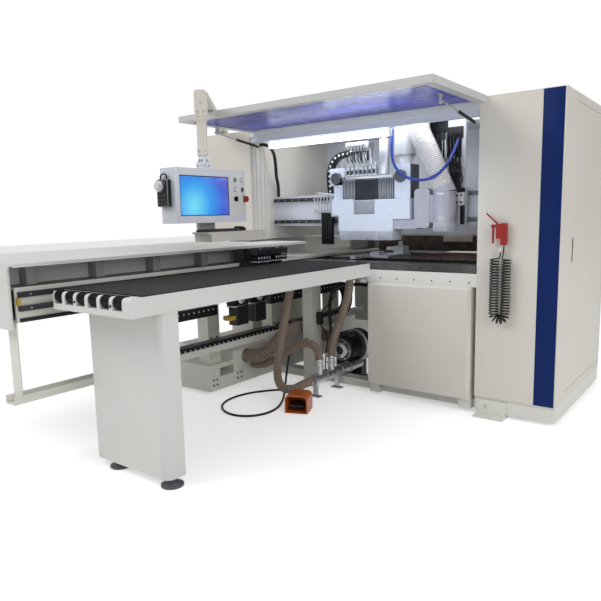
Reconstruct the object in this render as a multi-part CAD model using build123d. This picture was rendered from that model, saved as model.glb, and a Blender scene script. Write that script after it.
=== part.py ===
from build123d import *
import os
from math import acos, cos, hypot, pi, radians, sin, sqrt, tan

# Machine frame: +X right, +Y the way a panel is fed, +Z up, origin on the floor
# at the middle of the overall box. Sizes in millimetres.
HALF_WIDTH = 1513
HALF_LENGTH = 2832
BRIDGE_HALF = 614
TABLE_TOP = 974
FLOOR = 0

# Welded base and bed
BASE_LEFT, BASE_RIGHT = -1363, -745
BASE_HALF = 1298
BASE_BOTTOM, BASE_STEP, BASE_TOP = 26, 224, 290
UPRIGHT_RIGHT, UPRIGHT_HALF = -1110, 400
COLUMN_X = (-905, -795)
COLUMN_HALF = 60
COLUMN_PLACES = (-1190, -450, 450, 1190)
SILL_Y, SILL_TOP = (460, 560), 84
BED_X = (-388, 1009)
BED_BAND = (838, 924)
BED_WALL = 95
STAND_TOP = 123
BRACKET_WIDTH, BRACKET_HEIGHT, BRACKET_FOOT, BRACKET_WALL = 190, 105, 78, 12

# Infeed and outfeed tables
TABLE_X = (-395, 226)
TABLE_END = 2691
APRON_BOTTOM = 876
APRON_WALL = 12
MAT_THICK = 6
ROLLER_COUNT, ROLLER_RADIUS, ROLLER_WIDTH = 6, 32, 68
ROLLER_POCKET = 72
ROLLER_SHAFT = 8
PEDESTAL_X, PEDESTAL_Y = (-385, 215), (-2524, -2409)
PEDESTAL_BOTTOM = 44
FOOT_X, FOOT_Y, FOOT_RADIUS = (-237, 177), 2467, 57

# Clamp beam, its cover and the cable chain
BEAM_X, BEAM_Z, BEAM_END, BEAM_WALL = (-980, -560), (804, 985), 2800, 14
RAIL_DEPTH, RAIL_HALF = 25, 14
CLAMP_RAILS = (878, 949)
COVER_LIP = -491
COVER_Z = (770, 1110)
SHEET = 12
TRAY_X, TRAY_Z = (-690, -600), (368, 412)
CHAIN_X = (-684, -606)
CHAIN_HEIGHT, CHAIN_BEND, CHAIN_PITCH = 70, 128, 46

# Clamps on the beam
CLAMP_NEAR, CLAMP_FAR = -1042, -847
CLAMP_HALF, SERVO_SHIFT = 95, -175
SADDLE_Z = (830, 1000)
SADDLE_FRONT, ARM_FRONT = -470, -402

# Cabinets, header and lid
CABINET_X, CABINET_Z = (1009, 1513), (123, 2013)
PANEL = 20
DOOR_Y, DOOR_Z, DOOR_GAP = (-400, 558), (180, 1960), 2
LEFT_X, LEFT_Z = (-1363, -960), (1125, 2000)
POST_RIGHT, POST_BACK = -889, -403
OUTLET_TOP = 1130
HEADER_Z, HEADER_STEP, HEADER_BACK = (1903, 2010), 1943, -560
LID_X, LID_FRONT, LID_BACK = (-849, 1055), -1390, -628
LID_Z, LID_FRAME, LID_SKIN = (1974, 2015), 60, 3
HINGE_Y, HINGE_Z, HINGE_RADIUS = -624, 1974, 8
HINGE_PLACES = (-560, 740)
STRUT_FOOT = (-575, 1872)
STRUT_EYE = (-1050, 1936)
STRUT_PLACES = (-832, 962)
STRUT_RADIUS, STRUT_ROD, STRUT_BODY = 10, 4, 250

# Upper gantry and boring head
GANTRY_Y, GANTRY_Z = (-227, 130), (1230, 1480)
GANTRY_RAILS = (1265, 1446)
CARRIAGE_X, CARRIAGE_Y, CARRIAGE_Z = (-150, 796), (-300, -252.6), (1228, 1487)
HEAD_FRONT, HEAD_BACK = -447, -302
SHROUD_X, SHROUD_Z = (-145, 319), (1192, 1312)
MOTOR_RADIUS, LEFT_MOTOR, RIGHT_MOTOR = 46, (-174, 1589), (379, 1580)
DRIVE_TOP = 1666
LEFT_COVER_TOP, RIGHT_COVER_TOP = 1430, 1422
SKIRT_BOTTOM = 1125
BRISTLE = 2.2
HOOD_X, HOOD_Y, HOOD_RADIUS = 690, -400, 77
HOOD_Z, HOOD_SKIRT_BOTTOM = (1250, 1458), 1190
CHUTE_TOP = 1985
HOSE_START, HOSE_LEAN = (680, -401, 1487), (-0.375, -0.017, 0.927)
AIR_HOSE_RADIUS = 10

# Suction plant below the bed
BLOWER_X, BLOWER_Z, BLOWER_Y = -132, 262, (-270, -180)
MANIFOLD_X, MANIFOLD_Z, MANIFOLD_END, MANIFOLD_RADIUS = -80, 130, -930, 38
STUB_PLACES, STUB_TOP = (-830, -677), 250
PORT_PLACE = (-320, -225, 300)
HOSE_TOP = 946

# Control station
BOOM_BASE = (-1240, -551)
POST_PLACE = (-289, -1712)
BOOM_Z = (2022, 2067)
BOX_X, BOX_Y, BOX_Z = (-360, -219), (-1995, -1417), (1286, 1604)
SCREEN_Y, SCREEN_Z = (-1972, -1572), (1328, 1562)
SWIVEL_Z = 1690
BUTTON_COLUMNS, BUTTON_ROWS = (-1519, -1455), (1488, 1547)
BUTTON_RADIUS, BUTTON_PLAY = 11, 0.4
SELECTOR_PLACE = (-1515, 1429)
STOP_PLACE = (-1437, 1429)
WHEEL_PLACE, WHEEL_RADIUS, WHEEL_SHAFT = (-325, 1500), 31, 6

# Foot switch, turned a little to the front
SWITCH_PLACE, SWITCH_TURN = (32, -1266), 22.5
SWITCH_WIDTH, SWITCH_DEPTH, SWITCH_HEIGHT = 157, 150, 125
CABLE_RADIUS = 8

# Blow gun and its curly hose
GUN_Y = (-660, -630)
TRIGGER_PIVOT, TRIGGER_HALF, TRIGGER_PIN = (1120, 1228), 9, 3
COIL_Y, COIL_MIDDLE, COIL_SPREAD = -654, 1172, 36
COIL_RADIUS, COIL_WIRE = 26, 4
COIL_TOP, COIL_BOTTOM = 1030, 690
COIL_LEG_TURNS, COIL_BEND_TURNS = 22, 2


def block(x, y, z):
    """Box between the given limits on each axis."""
    middle = Pos((x[0] + x[1]) / 2, (y[0] + y[1]) / 2, (z[0] + z[1]) / 2)
    return middle * Box(x[1] - x[0], y[1] - y[0], z[1] - z[0])


def drum_x(x, y, z, radius):
    return Pos((x[0] + x[1]) / 2, y, z) * Rot(0, 90, 0) * Cylinder(radius, x[1] - x[0])


def drum_y(x, y, z, radius):
    return Pos(x, (y[0] + y[1]) / 2, z) * Rot(90, 0, 0) * Cylinder(radius, y[1] - y[0])


def drum_z(x, y, z, radius):
    return Pos(x, y, (z[0] + z[1]) / 2) * Cylinder(radius, z[1] - z[0])


def span(middle, half):
    return (middle - half, middle + half)


def side_of(side, near, far):
    """Limits on Y of a thing that lies from near to far on one side of the bridge."""
    return tuple(sorted((side * near, side * far)))


def mirrored(shape):
    return mirror(shape, about=Plane.XZ)


def save(name, *shapes):
    solids = [solid for shape in shapes for solid in shape.solids()]
    whole = solids[0] if len(solids) == 1 else Compound(solids)
    export_step(whole, f"parts/{name}.step")


# Welded base with the bed frame, the beam columns and the bolt-down brackets
def base_frame():
    frame = block((BASE_LEFT, BASE_RIGHT), span(0, BASE_HALF), (BASE_BOTTOM, BASE_STEP))
    frame += block((BASE_LEFT, BASE_RIGHT), span(0, 1045), (BASE_STEP, BASE_TOP))
    for side in (-1, 1):
        window = block((BASE_LEFT - 1, BASE_RIGHT + 1), side_of(side, 1040, 1190), (125, 190))
        frame -= window
    for y in COLUMN_PLACES:
        frame += block(COLUMN_X, span(y, COLUMN_HALF), (BASE_STEP, BEAM_Z[0]))
        frame += block((-960, -610), span(y, 90), (BEAM_Z[0] - 24, BEAM_Z[0]))
    frame += block((BASE_LEFT, UPRIGHT_RIGHT), span(0, UPRIGHT_HALF), (BASE_TOP, LEFT_Z[0]))
    for side in (-1, 1):
        frame += block((BASE_RIGHT, 1490), side_of(side, *SILL_Y), (BASE_BOTTOM, SILL_TOP))
        for x in ((BED_X[0], BED_X[0] + BED_WALL), (223, 300), (900, 981)):
            frame += block(x, side_of(side, 500, BRIDGE_HALF), (BASE_BOTTOM, BED_BAND[0]))
    frame += block(CABINET_X, span(0, 600), (BASE_BOTTOM, STAND_TOP))
    band = block(BED_X, span(0, BRIDGE_HALF), BED_BAND)
    band -= block((BED_X[0] + BED_WALL, 900), span(0, 480), (BED_BAND[0] - 1, BED_BAND[1] + 1))
    frame += band
    return frame + bolt_down_brackets()


def bolt_down_brackets():
    """Angle brackets that stand on the floor, each with a keyhole in its upright leaf."""
    brackets = []
    for side in (-1, 1):
        for x, face in (((1025, 1025 + BRACKET_WIDTH), 600), ((-1300, -1300 + BRACKET_WIDTH), BASE_HALF)):
            leaf = block(x, side_of(side, face, face + BRACKET_WALL), (FLOOR, BRACKET_HEIGHT))
            foot = block(x, side_of(side, face - BRACKET_WALL, face + BRACKET_FOOT), (FLOOR, BRACKET_WALL))
            keyhole = drum_y(x[0] + 60, side_of(side, face - 9, face + 19), 62, 15)
            brackets.append(leaf + foot - keyhole)
            brackets.append(block(x, side_of(side, face - 40, face), (FLOOR, BASE_BOTTOM)))
    return brackets


def levelling_foot(x, y):
    outline = Polyline((0, 0), (FOOT_RADIUS, 0), (FOOT_RADIUS, 9), (46, 12), (18, 30), (12, 30),
                       (12, PEDESTAL_BOTTOM), (0, PEDESTAL_BOTTOM), close=True)
    return Pos(x, y, 0) * revolve(make_face(Plane.XZ * outline), Axis.Z)


def levelling_feet():
    return [levelling_foot(x, side * FOOT_Y) for x in FOOT_X for side in (-1, 1)]


def table_pedestal():
    slab = block(PEDESTAL_X, PEDESTAL_Y, (PEDESTAL_BOTTOM, APRON_BOTTOM))
    front = slab.edges().filter_by(Axis.Z).group_by(Axis.Y)[0]
    return fillet(front, 50)


# Table frames with the comb of fingers that holds the end rollers
def roller_places():
    pitch = (TABLE_X[1] - TABLE_X[0] - 44) / ROLLER_COUNT
    first = TABLE_X[0] + 8 + ROLLER_POCKET / 2
    return [first + i * pitch for i in range(ROLLER_COUNT)]


ROLLER_Y, ROLLER_Z = -TABLE_END + ROLLER_RADIUS + 1, TABLE_TOP - ROLLER_RADIUS


def table_frame():
    frame = block(TABLE_X, (-TABLE_END, -BRIDGE_HALF - 1), (APRON_BOTTOM, TABLE_TOP - MAT_THICK))
    hollow_x = (TABLE_X[0] + APRON_WALL, TABLE_X[1] - APRON_WALL)
    frame -= block(hollow_x, (-TABLE_END + 90, -BRIDGE_HALF - 1 - APRON_WALL), (APRON_BOTTOM - 1, 950))
    edge = frame.edges().filter_by(Axis.X).group_by(Axis.Y)[0].sort_by(Axis.Z)[-1]
    return fillet(edge, 22)


def infeed_table_frame():
    frame = table_frame()
    pocket_y = (-TABLE_END - 1, ROLLER_Y + ROLLER_RADIUS + 4)
    for x in roller_places():
        frame -= block(span(x, ROLLER_POCKET / 2), pocket_y, (ROLLER_Z - ROLLER_RADIUS - 4, TABLE_TOP + 1))
    shaft_span = (TABLE_X[0] + 2, TABLE_X[1] - 20)
    return frame - drum_x(shaft_span, ROLLER_Y, ROLLER_Z, ROLLER_SHAFT + 0.1)


def end_rollers():
    places = roller_places()
    shaft = drum_x((TABLE_X[0] + 3, TABLE_X[1] - 21), ROLLER_Y, ROLLER_Z, ROLLER_SHAFT)
    for x in places:
        roller = drum_x(span(x, ROLLER_WIDTH / 2), ROLLER_Y, ROLLER_Z, ROLLER_RADIUS)
        shaft += chamfer(roller.edges().filter_by(GeomType.CIRCLE), 4)
    return shaft


def table_mat():
    rear = ROLLER_Y + ROLLER_RADIUS + 6
    return block((TABLE_X[0] + 5, TABLE_X[1] - 5), (rear, -BRIDGE_HALF - 1), (TABLE_TOP - MAT_THICK, TABLE_TOP))


# Clamp beam with its rails, cover, chain tray and cable chains
def clamp_beam():
    beam = block(BEAM_X, span(0, BEAM_END), BEAM_Z)
    hollow_x = (BEAM_X[0] + BEAM_WALL, BEAM_X[1] - BEAM_WALL)
    return beam - block(hollow_x, span(0, BEAM_END + 1), (BEAM_Z[0] + BEAM_WALL, BEAM_Z[1] - BEAM_WALL))


def clamp_rail(z):
    rail = block((BEAM_X[1], BEAM_X[1] + RAIL_DEPTH), span(0, BEAM_END - 10), span(z, RAIL_HALF))
    front = BEAM_X[1] + RAIL_DEPTH
    bolts = [drum_x((front - 9, front + 1), y, z, 5) for y in range(-2730, 2731, 130)]
    return rail - bolts


def gantry_rail(z):
    rail = block((-950, 1000), (GANTRY_Y[0] - RAIL_DEPTH, GANTRY_Y[0]), span(z, RAIL_HALF))
    front = GANTRY_Y[0] - RAIL_DEPTH
    bolts = [drum_y(x, (front - 1, front + 9), z, 5) for x in range(-900, 951, 74)]
    return rail - bolts


def linear_rails():
    return [clamp_rail(z) for z in CLAMP_RAILS] + [gantry_rail(z) for z in GANTRY_RAILS]


def clamp_cover():
    """Sheet cover of the beam's infeed half: end plate, top, back, inner wall and stiffening ribs."""
    left, lip, end = -HALF_WIDTH, COVER_LIP, -HALF_LENGTH
    rear = -BRIDGE_HALF - 11
    bottom, top = COVER_Z
    corner = 30
    edge = BEAM_X[1]
    outline = [
        Polyline((edge + corner, top - SHEET), (lip, top - SHEET), (lip, top), (left, top), (left, bottom),
                 (edge, bottom), (edge, top - SHEET - corner)),
        RadiusArc((edge, top - SHEET - corner), (edge + corner, top - SHEET), corner),
    ]
    plate = extrude(Plane.XZ * make_face(outline), SHEET)
    cover = Pos(0, end + SHEET, 0) * plate
    cover += block((left, lip), (end, rear), (top - SHEET, top))
    cover += block((-880, lip), (rear, -410), (top - SHEET, top))
    cover += block((lip - SHEET, lip), (end, -410), (top - SHEET - 6, top - 1))
    cover += block((left, left + SHEET), (end, rear), (bottom, top))
    cover += block((-732, -720), (end, rear), (BEAM_Z[1], top - 1))
    for y in range(-2660, -700, 420):
        cover += block((-721, -640), span(y, 28), (1030, top - 1))
    return cover


def chain_tray():
    tray = block(TRAY_X, span(0, HALF_LENGTH), TRAY_Z)
    tray -= block((TRAY_X[0] + 4, TRAY_X[1] - 4), span(0, HALF_LENGTH + 1), (TRAY_Z[0] + 4, TRAY_Z[1] + 1))
    for side in (-1, 1):
        tray += block((TRAY_X[0], TRAY_X[1] - 6), side_of(side, 2778, 2786), (TRAY_Z[0], BEAM_Z[0]))
    for y in COLUMN_PLACES:
        tray += block((COLUMN_X[1], TRAY_X[0] + 2), span(y, 22), (TRAY_Z[0] + 10, TRAY_Z[0] + 22))
    return tray


def cable_chain(bend_y, away, upper_end, lower_end):
    """Chain that lies in the tray, turns round at bend_y and comes back above itself."""
    low = TRAY_Z[0] + 6
    high = low + 2 * CHAIN_BEND
    middle = (low + high + CHAIN_HEIGHT) / 2
    lower_run = block(CHAIN_X, tuple(sorted((bend_y, lower_end))), (low, low + CHAIN_HEIGHT))
    upper_run = block(CHAIN_X, tuple(sorted((bend_y, upper_end))), (high, high + CHAIN_HEIGHT))
    ring = drum_x(CHAIN_X, bend_y, middle, CHAIN_BEND + CHAIN_HEIGHT / 2)
    ring -= drum_x((CHAIN_X[0] - 1, CHAIN_X[1] + 1), bend_y, middle, CHAIN_BEND - CHAIN_HEIGHT / 2)
    ring &= block(CHAIN_X, tuple(sorted((bend_y, bend_y + away * 300))), (low, high + CHAIN_HEIGHT))
    chain = lower_run + upper_run + ring
    slots = []
    face = (CHAIN_X[1] - 5, CHAIN_X[1] + 1)
    for z, end in ((low, lower_end), (high, upper_end)):
        links = int(abs(end - bend_y) / CHAIN_PITCH)
        for i in range(1, links):
            slots.append(block(face, span(bend_y - away * i * CHAIN_PITCH, 3), (z - 1, z + CHAIN_HEIGHT + 1)))
    return chain - slots


def cable_chains():
    return [cable_chain(-1900, -1, -1330, -690), cable_chain(300, 1, -740, -600)]


# Panel clamps: a saddle on the beam's rails, a servo drive below and a lifting jaw
def clamp_carriage(y):
    body = block((BEAM_X[1] + 0.5, SADDLE_FRONT), span(y, CLAMP_HALF), SADDLE_Z)
    for z in CLAMP_RAILS:
        groove_x = (BEAM_X[1], BEAM_X[1] + RAIL_DEPTH + 0.5)
        body -= block(groove_x, span(y, CLAMP_HALF + 1), span(z, RAIL_HALF + 0.5))
    body += block((-531, SADDLE_FRONT), span(y, CLAMP_HALF - 20), (1000, 1084))
    body += block((SADDLE_FRONT, ARM_FRONT), span(y, CLAMP_HALF - 20), (1044, 1084))
    body += block((SADDLE_FRONT, ARM_FRONT), span(y, 70), (950, 972))
    for place in (y - 45, y + 45):
        body -= drum_z((SADDLE_FRONT + ARM_FRONT) / 2, place, (1040, 1090), 6.4)
    return body


def clamp_jaw(y):
    """Upper jaw with five fingers and the two rods that guide it through the arm."""
    middle = (SADDLE_FRONT + ARM_FRONT) / 2
    jaw = block((SADDLE_FRONT + 4, ARM_FRONT), span(y, 75), (1010, 1032))
    for i in range(5):
        jaw += block((SADDLE_FRONT + 8, ARM_FRONT), span(y - 60 + 30 * i, 9), (992, 1010))
    for place in (y - 45, y + 45):
        jaw += drum_z(middle, place, (1032, 1086), 6)
    return jaw


def clamp_servo(y):
    """Gear head and motor of the clamp's rack drive, on a shelf that hangs from the near end of the saddle."""
    middle = y + SERVO_SHIFT
    width = (-552, -474)
    shelf_top = SADDLE_Z[0] - 4
    drive = block(width, (middle - 70, y - CLAMP_HALF + 37), (shelf_top - 26, shelf_top))
    drive += block(width, (y - CLAMP_HALF, y - CLAMP_HALF + 37), (shelf_top - 26, SADDLE_Z[0]))
    drive += block(width, span(middle, 70), (690, shelf_top - 25))
    drive += chamfer(block((-550, -464), span(middle, 66), (555, 690)).edges().filter_by(Axis.Z), 10)
    drive += drum_x((-474, -452), middle - 20, 745, 38)
    return drive


# Cabinets, header, rear wall and door
def right_cabinet():
    body = block(CABINET_X, span(0, BRIDGE_HALF), CABINET_Z)
    inner_x = (CABINET_X[0] + PANEL, CABINET_X[1] - PANEL)
    body -= block(inner_x, span(0, BRIDGE_HALF - PANEL), (CABINET_Z[0] + PANEL, CABINET_Z[1] - PANEL))
    door_y = (DOOR_Y[0] - DOOR_GAP, DOOR_Y[1] + 2 * DOOR_GAP)
    body -= block((inner_x[1] - 1, CABINET_X[1] + 1), door_y, (DOOR_Z[0] - DOOR_GAP, DOOR_Z[1] + DOOR_GAP))
    peg = drum_y(1189, (GUN_Y[1], -BRIDGE_HALF), 1190, 9)
    air_outlet = drum_y(COIL_MIDDLE - 6, (-646, -BRIDGE_HALF), 1082, 13)
    strut_arm = block((STRUT_PLACES[1] + 14, CABINET_X[0]), span(STRUT_FOOT[0], 9), span(STRUT_FOOT[1], 9))
    strut_pin = drum_x((STRUT_PLACES[1] - 8, CABINET_X[0]), STRUT_FOOT[0], STRUT_FOOT[1], 4)
    return body + peg + air_outlet + strut_arm + strut_pin


def cabinet_door():
    door = block((CABINET_X[1] - PANEL, CABINET_X[1]), DOOR_Y, DOOR_Z)
    pull = block((CABINET_X[1] - 12, CABINET_X[1] + 1), (-357, -335), (997, 1144))
    return door - pull


def left_cabinet():
    """Roof with the boom's bearing plate, floor, four walls, and the slotted post with the strut's pin."""
    walls_z = (LEFT_Z[0] + PANEL, LEFT_Z[1] - PANEL)
    inner_x = (LEFT_X[0] + PANEL, LEFT_X[1] - PANEL)
    inner_end = BRIDGE_HALF - PANEL
    roof = block(LEFT_X, span(0, BRIDGE_HALF), (walls_z[1], LEFT_Z[1]))
    roof += drum_z(*BOOM_BASE, (LEFT_Z[1], LEFT_Z[1] + 14), 60)
    floor = block(LEFT_X, span(0, BRIDGE_HALF), (LEFT_Z[0], walls_z[0]))
    sides_x = ((LEFT_X[0], inner_x[0]), (inner_x[1], LEFT_X[1]))
    sides = [block(x, span(0, BRIDGE_HALF), walls_z) for x in sides_x]
    ends = [block(inner_x, side_of(side, inner_end, BRIDGE_HALF), walls_z) for side in (-1, 1)]
    post = block((LEFT_X[1], POST_RIGHT), (-BRIDGE_HALF, POST_BACK), LEFT_Z)
    for y in (-585, -545, -490, -440):
        post -= block((POST_RIGHT - 7, POST_RIGHT + 1), span(y, 7), (LEFT_Z[0] - 1, 1890))
    post += block((POST_RIGHT, STRUT_PLACES[0] - 14), span(STRUT_FOOT[0], 9), span(STRUT_FOOT[1], 9))
    post += drum_x((POST_RIGHT, STRUT_PLACES[0] + 8), STRUT_FOOT[0], STRUT_FOOT[1], 4)
    return [roof, floor, *sides, *ends, post]


def front_header():
    header = block((POST_RIGHT, CABINET_X[0]), (-BRIDGE_HALF, HEADER_BACK), (HEADER_STEP, HEADER_Z[1]))
    header += block((POST_RIGHT, CABINET_X[0]), (-BRIDGE_HALF + 12, HEADER_BACK), (HEADER_Z[0], HEADER_STEP))
    for x in HINGE_PLACES:
        header += drum_x((x - 40, x - 1), HINGE_Y, HINGE_Z, HINGE_RADIUS)
        header += block((x - 40, x - 1), (HINGE_Y, -BRIDGE_HALF + 1), span(HINGE_Z, 5))
        header += drum_x((x - 2, x + 38), HINGE_Y, HINGE_Z, 3)
    return header


def rear_wall():
    wall = block((LEFT_X[1], CABINET_X[0]), (BRIDGE_HALF - PANEL, BRIDGE_HALF), (OUTLET_TOP, LEFT_Z[1]))
    return wall + block((LEFT_X[1], CABINET_X[0]), (150, BRIDGE_HALF - PANEL), (LEFT_Z[1] - SHEET, LEFT_Z[1]))


# Lid over the infeed side, with its coloured liner and two gas struts
def lid_panel():
    lid = block(LID_X, (LID_FRONT, LID_BACK), LID_Z)
    inside_x = (LID_X[0] + LID_FRAME, LID_X[1] - LID_FRAME)
    lid -= block(inside_x, (LID_FRONT + LID_FRAME, LID_BACK - LID_FRAME), (LID_Z[0] - 1, LID_Z[1] - LID_SKIN))
    for x in HINGE_PLACES:
        lid -= block((x - 44, x + 44), (LID_BACK - 14, LID_BACK + 1), (LID_Z[0] - 1, LID_Z[0] + 24))
        knuckle = drum_x((x + 1, x + 40), HINGE_Y, HINGE_Z, HINGE_RADIUS)
        knuckle += block((x + 1, x + 40), (LID_BACK - 16, HINGE_Y), (HINGE_Z, HINGE_Z + HINGE_RADIUS))
        lid += knuckle - drum_x((x, x + 41), HINGE_Y, HINGE_Z, 3.1)
    for x in (STRUT_PLACES[0] + 14, STRUT_PLACES[1] - 20):
        lid += block((x, x + 6), span(STRUT_EYE[0], 16), (STRUT_EYE[1] - 12, LID_Z[0] + 4))
        lid += block((x - 2, x + 8), span(STRUT_EYE[0], 30), (LID_Z[0] - 4, LID_Z[1] - 2))
    return lid


def lid_liner():
    liner_x = (LID_X[0] + LID_FRAME, LID_X[1] - LID_FRAME)
    liner_y = (LID_FRONT + LID_FRAME, LID_BACK - LID_FRAME)
    liner = block(liner_x, liner_y, (LID_Z[0] + 6, LID_Z[0] + 12))
    for x in (STRUT_PLACES[0] + 14, STRUT_PLACES[1] - 20):
        liner -= block((x - 4, x + 10), span(STRUT_EYE[0], 32), (LID_Z[0], LID_Z[0] + 20))
    return liner


def along_strut(shape):
    """Lays a part drawn along +Z from the origin onto the line from strut foot to strut eye."""
    run, rise = STRUT_EYE[0] - STRUT_FOOT[0], STRUT_EYE[1] - STRUT_FOOT[1]
    lean = acos(rise / hypot(run, rise)) * 180 / pi
    return Pos(0, *STRUT_FOOT) * Rot(lean, 0, 0) * shape


STRUT_LENGTH = hypot(STRUT_EYE[0] - STRUT_FOOT[0], STRUT_EYE[1] - STRUT_FOOT[1])


def strut_cylinder(x):
    body = drum_z(0, 0, (22, STRUT_BODY), STRUT_RADIUS) - drum_z(0, 0, (40, STRUT_BODY + 1), STRUT_ROD + 0.3)
    eye = drum_x(span(0, 6), 0, 0, 9) + block(span(0, 4), span(0, 6), (0, 24)) - drum_x(span(0, 7), 0, 0, 4.1)
    return Pos(x, 0, 0) * along_strut(body + eye)


def strut_rod(x):
    rod = drum_z(0, 0, (STRUT_BODY - 50, STRUT_LENGTH - 8), STRUT_ROD)
    eye = drum_x(span(0, 5), 0, STRUT_LENGTH, 9) - drum_x(span(0, 6), 0, STRUT_LENGTH, 4)
    return Pos(x, 0, 0) * along_strut(rod + eye)


# Upper gantry beam and the boring head that runs along it
def gantry_beam():
    beam = block((LEFT_X[1], CABINET_X[0]), GANTRY_Y, GANTRY_Z)
    inner_y = (GANTRY_Y[0] + PANEL, GANTRY_Y[1] - PANEL)
    return beam - block((LEFT_X[1] - 1, CABINET_X[0] + 1), inner_y, (GANTRY_Z[0] + PANEL, GANTRY_Z[1] - PANEL))


def head_carriage():
    plate = block(CARRIAGE_X, CARRIAGE_Y, CARRIAGE_Z)
    for z in GANTRY_RAILS:
        for x in (CARRIAGE_X[0] + 10, 250, CARRIAGE_X[1] - 110):
            for rim in (z - RAIL_HALF - 16, z + RAIL_HALF + 0.5):
                plate += block((x, x + 100), (CARRIAGE_Y[1] - 1, GANTRY_Y[0] - 0.6), (rim, rim + 15.5))
    for x in (-60, 200, 690):
        plate += block(span(x, 16), (HEAD_BACK + 0.5, CARRIAGE_Y[0] + 1), (1240, 1480))
    return plate + lift_drive()


def lift_drive():
    """Upright on the carriage with the lift motor, its valve block, the cable box on top and a side block."""
    back = -262
    upright = block((640, 790), (-290, back), (CARRIAGE_Z[1] - 1, 1880))
    upright += block((500, 790), (-290, back), (1860, 1958))
    upright += block((655, 745), (back - 1, -180), (1552, 1661))
    upright += drum_z(700, -220, (1500, 1553), 36)
    upright += block((660, 762), (back - 1, -190), (1694, 1850))
    upright += block((500, 662), (back - 1, -160), (1865, 1958))
    return upright + block((746, 792), (-330, CARRIAGE_Y[0] + 1), (1365, 1451))


def drill_block():
    core = block((-130, 304), (HEAD_FRONT + 12, HEAD_BACK), (1200, 1420))
    for row in (-405, -355):
        for i in range(9):
            core += drum_z(-100 + 46 * i, row, (1150, 1201), 9)
            core += drum_z(-100 + 46 * i, row, (1131, 1151), 4)
    return core


def finned_motor(x):
    """Square motor case with upright cooling fins on its front."""
    case = block(x, (HEAD_FRONT + 22, HEAD_BACK - 6), (1421, 1575))
    count = 6
    pitch = (x[1] - x[0]) / count
    for i in range(count):
        middle = x[0] + (i + 0.5) * pitch
        case += block(span(middle, pitch / 4), (HEAD_FRONT + 4, HEAD_FRONT + 24), (1421, 1575))
    return case


def octagonal_cap(x, y, z):
    return Pos(x, y, z) * extrude(Plane.XZ * RegularPolygon(MOTOR_RADIUS, 8), 30)


def left_drive():
    """Feed drive of the left spindles: a post on the cover, a wider top and an octagonal cap."""
    y = (-425, -320)
    drive = block((-205, -118), y, (LEFT_COVER_TOP, DRIVE_TOP)) + block((-240, -118), y, (1535, DRIVE_TOP))
    return drive + octagonal_cap(LEFT_MOTOR[0], y[0], LEFT_MOTOR[1])


def right_drive():
    y = (-438, -304)
    drive = block((325, 450), y, (RIGHT_COVER_TOP, DRIVE_TOP))
    return drive + octagonal_cap(RIGHT_MOTOR[0], y[0], RIGHT_MOTOR[1])


def drill_motors():
    centre = block((1, 196), (HEAD_FRONT + 2, HEAD_BACK - 6), (1421, 1568))
    return [finned_motor((-115, 0)), centre, finned_motor((197, 319)), left_drive(), right_drive()]


def head_cover():
    front = (HEAD_FRONT - 8, HEAD_FRONT)
    cover = block((-208, -10), front, (SHROUD_Z[1], LEFT_COVER_TOP))
    cover += block((171, 454), front, (1276, RIGHT_COVER_TOP))
    cover += block((-208, -116), (HEAD_FRONT - 1, HEAD_BACK), (LEFT_COVER_TOP - 6, LEFT_COVER_TOP))
    cover += block((320, 454), (HEAD_FRONT - 1, HEAD_BACK), (RIGHT_COVER_TOP - 6, RIGHT_COVER_TOP))
    cover += block((-10, 171), (HEAD_FRONT - 4, HEAD_FRONT), (SHROUD_Z[1] - 2, 1420))
    cover += block(SHROUD_X, (HEAD_FRONT - 8, HEAD_BACK), SHROUD_Z)
    cover -= block((-137, 311), (HEAD_FRONT, HEAD_BACK + 1), (SHROUD_Z[0] - 1, SHROUD_Z[1] - 6))
    cover -= block((-137, 311), (HEAD_FRONT, HEAD_BACK + 1), (SHROUD_Z[1] - 7, SHROUD_Z[1] + 1))
    cover += block((-208, -200), (HEAD_FRONT - 1, HEAD_BACK), (SHROUD_Z[1], LEFT_COVER_TOP))
    cover += block((446, 454), (HEAD_FRONT - 1, HEAD_BACK), (1276, RIGHT_COVER_TOP))
    return cover


# Bristle skirts that close off the boring head and the router hood
def skirt_of_strands(path, backing, count, top, bottom):
    """Strands hung at even steps along a closed path, fused to a slice of their backing."""
    strands = []
    for i in range(count):
        place = path @ (i / count)
        angle = Vector(1, 0, 0).get_signed_angle(path % (i / count), Vector(0, 0, 1))
        strand = Box(BRISTLE, BRISTLE, top - bottom + 2)
        middle = Pos(place.X, place.Y, (top + 2 + bottom) / 2)
        strands.append(middle * Rot(0, 0, angle) * strand)
    return backing.fuse(*strands)


def head_skirt():
    top = SHROUD_Z[0] - 6
    x, y = (-139, 313), (HEAD_FRONT - 2, HEAD_BACK - 8)
    path = Wire.make_rect(x[1] - x[0], y[1] - y[0]).moved(Pos((x[0] + x[1]) / 2, (y[0] + y[1]) / 2, 0))
    ring = block((x[0] - 4, x[1] + 4), (y[0] - 4, y[1] + 4), (top, SHROUD_Z[0]))
    ring -= block((x[0] + 4, x[1] - 4), (y[0] + 4, y[1] - 4), (top - 1, SHROUD_Z[0] + 1))
    return skirt_of_strands(path, ring, 280, top, SKIRT_BOTTOM)


def hood_skirt():
    top = HOOD_Z[0] - 6
    path = Wire.make_circle(HOOD_RADIUS - 4).moved(Pos(HOOD_X, HOOD_Y, 0))
    ring = drum_z(HOOD_X, HOOD_Y, (top, HOOD_Z[0]), HOOD_RADIUS) - drum_z(HOOD_X, HOOD_Y, (top, HOOD_Z[0]), 69)
    return skirt_of_strands(path, ring, 120, top, HOOD_SKIRT_BOTTOM)


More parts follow.
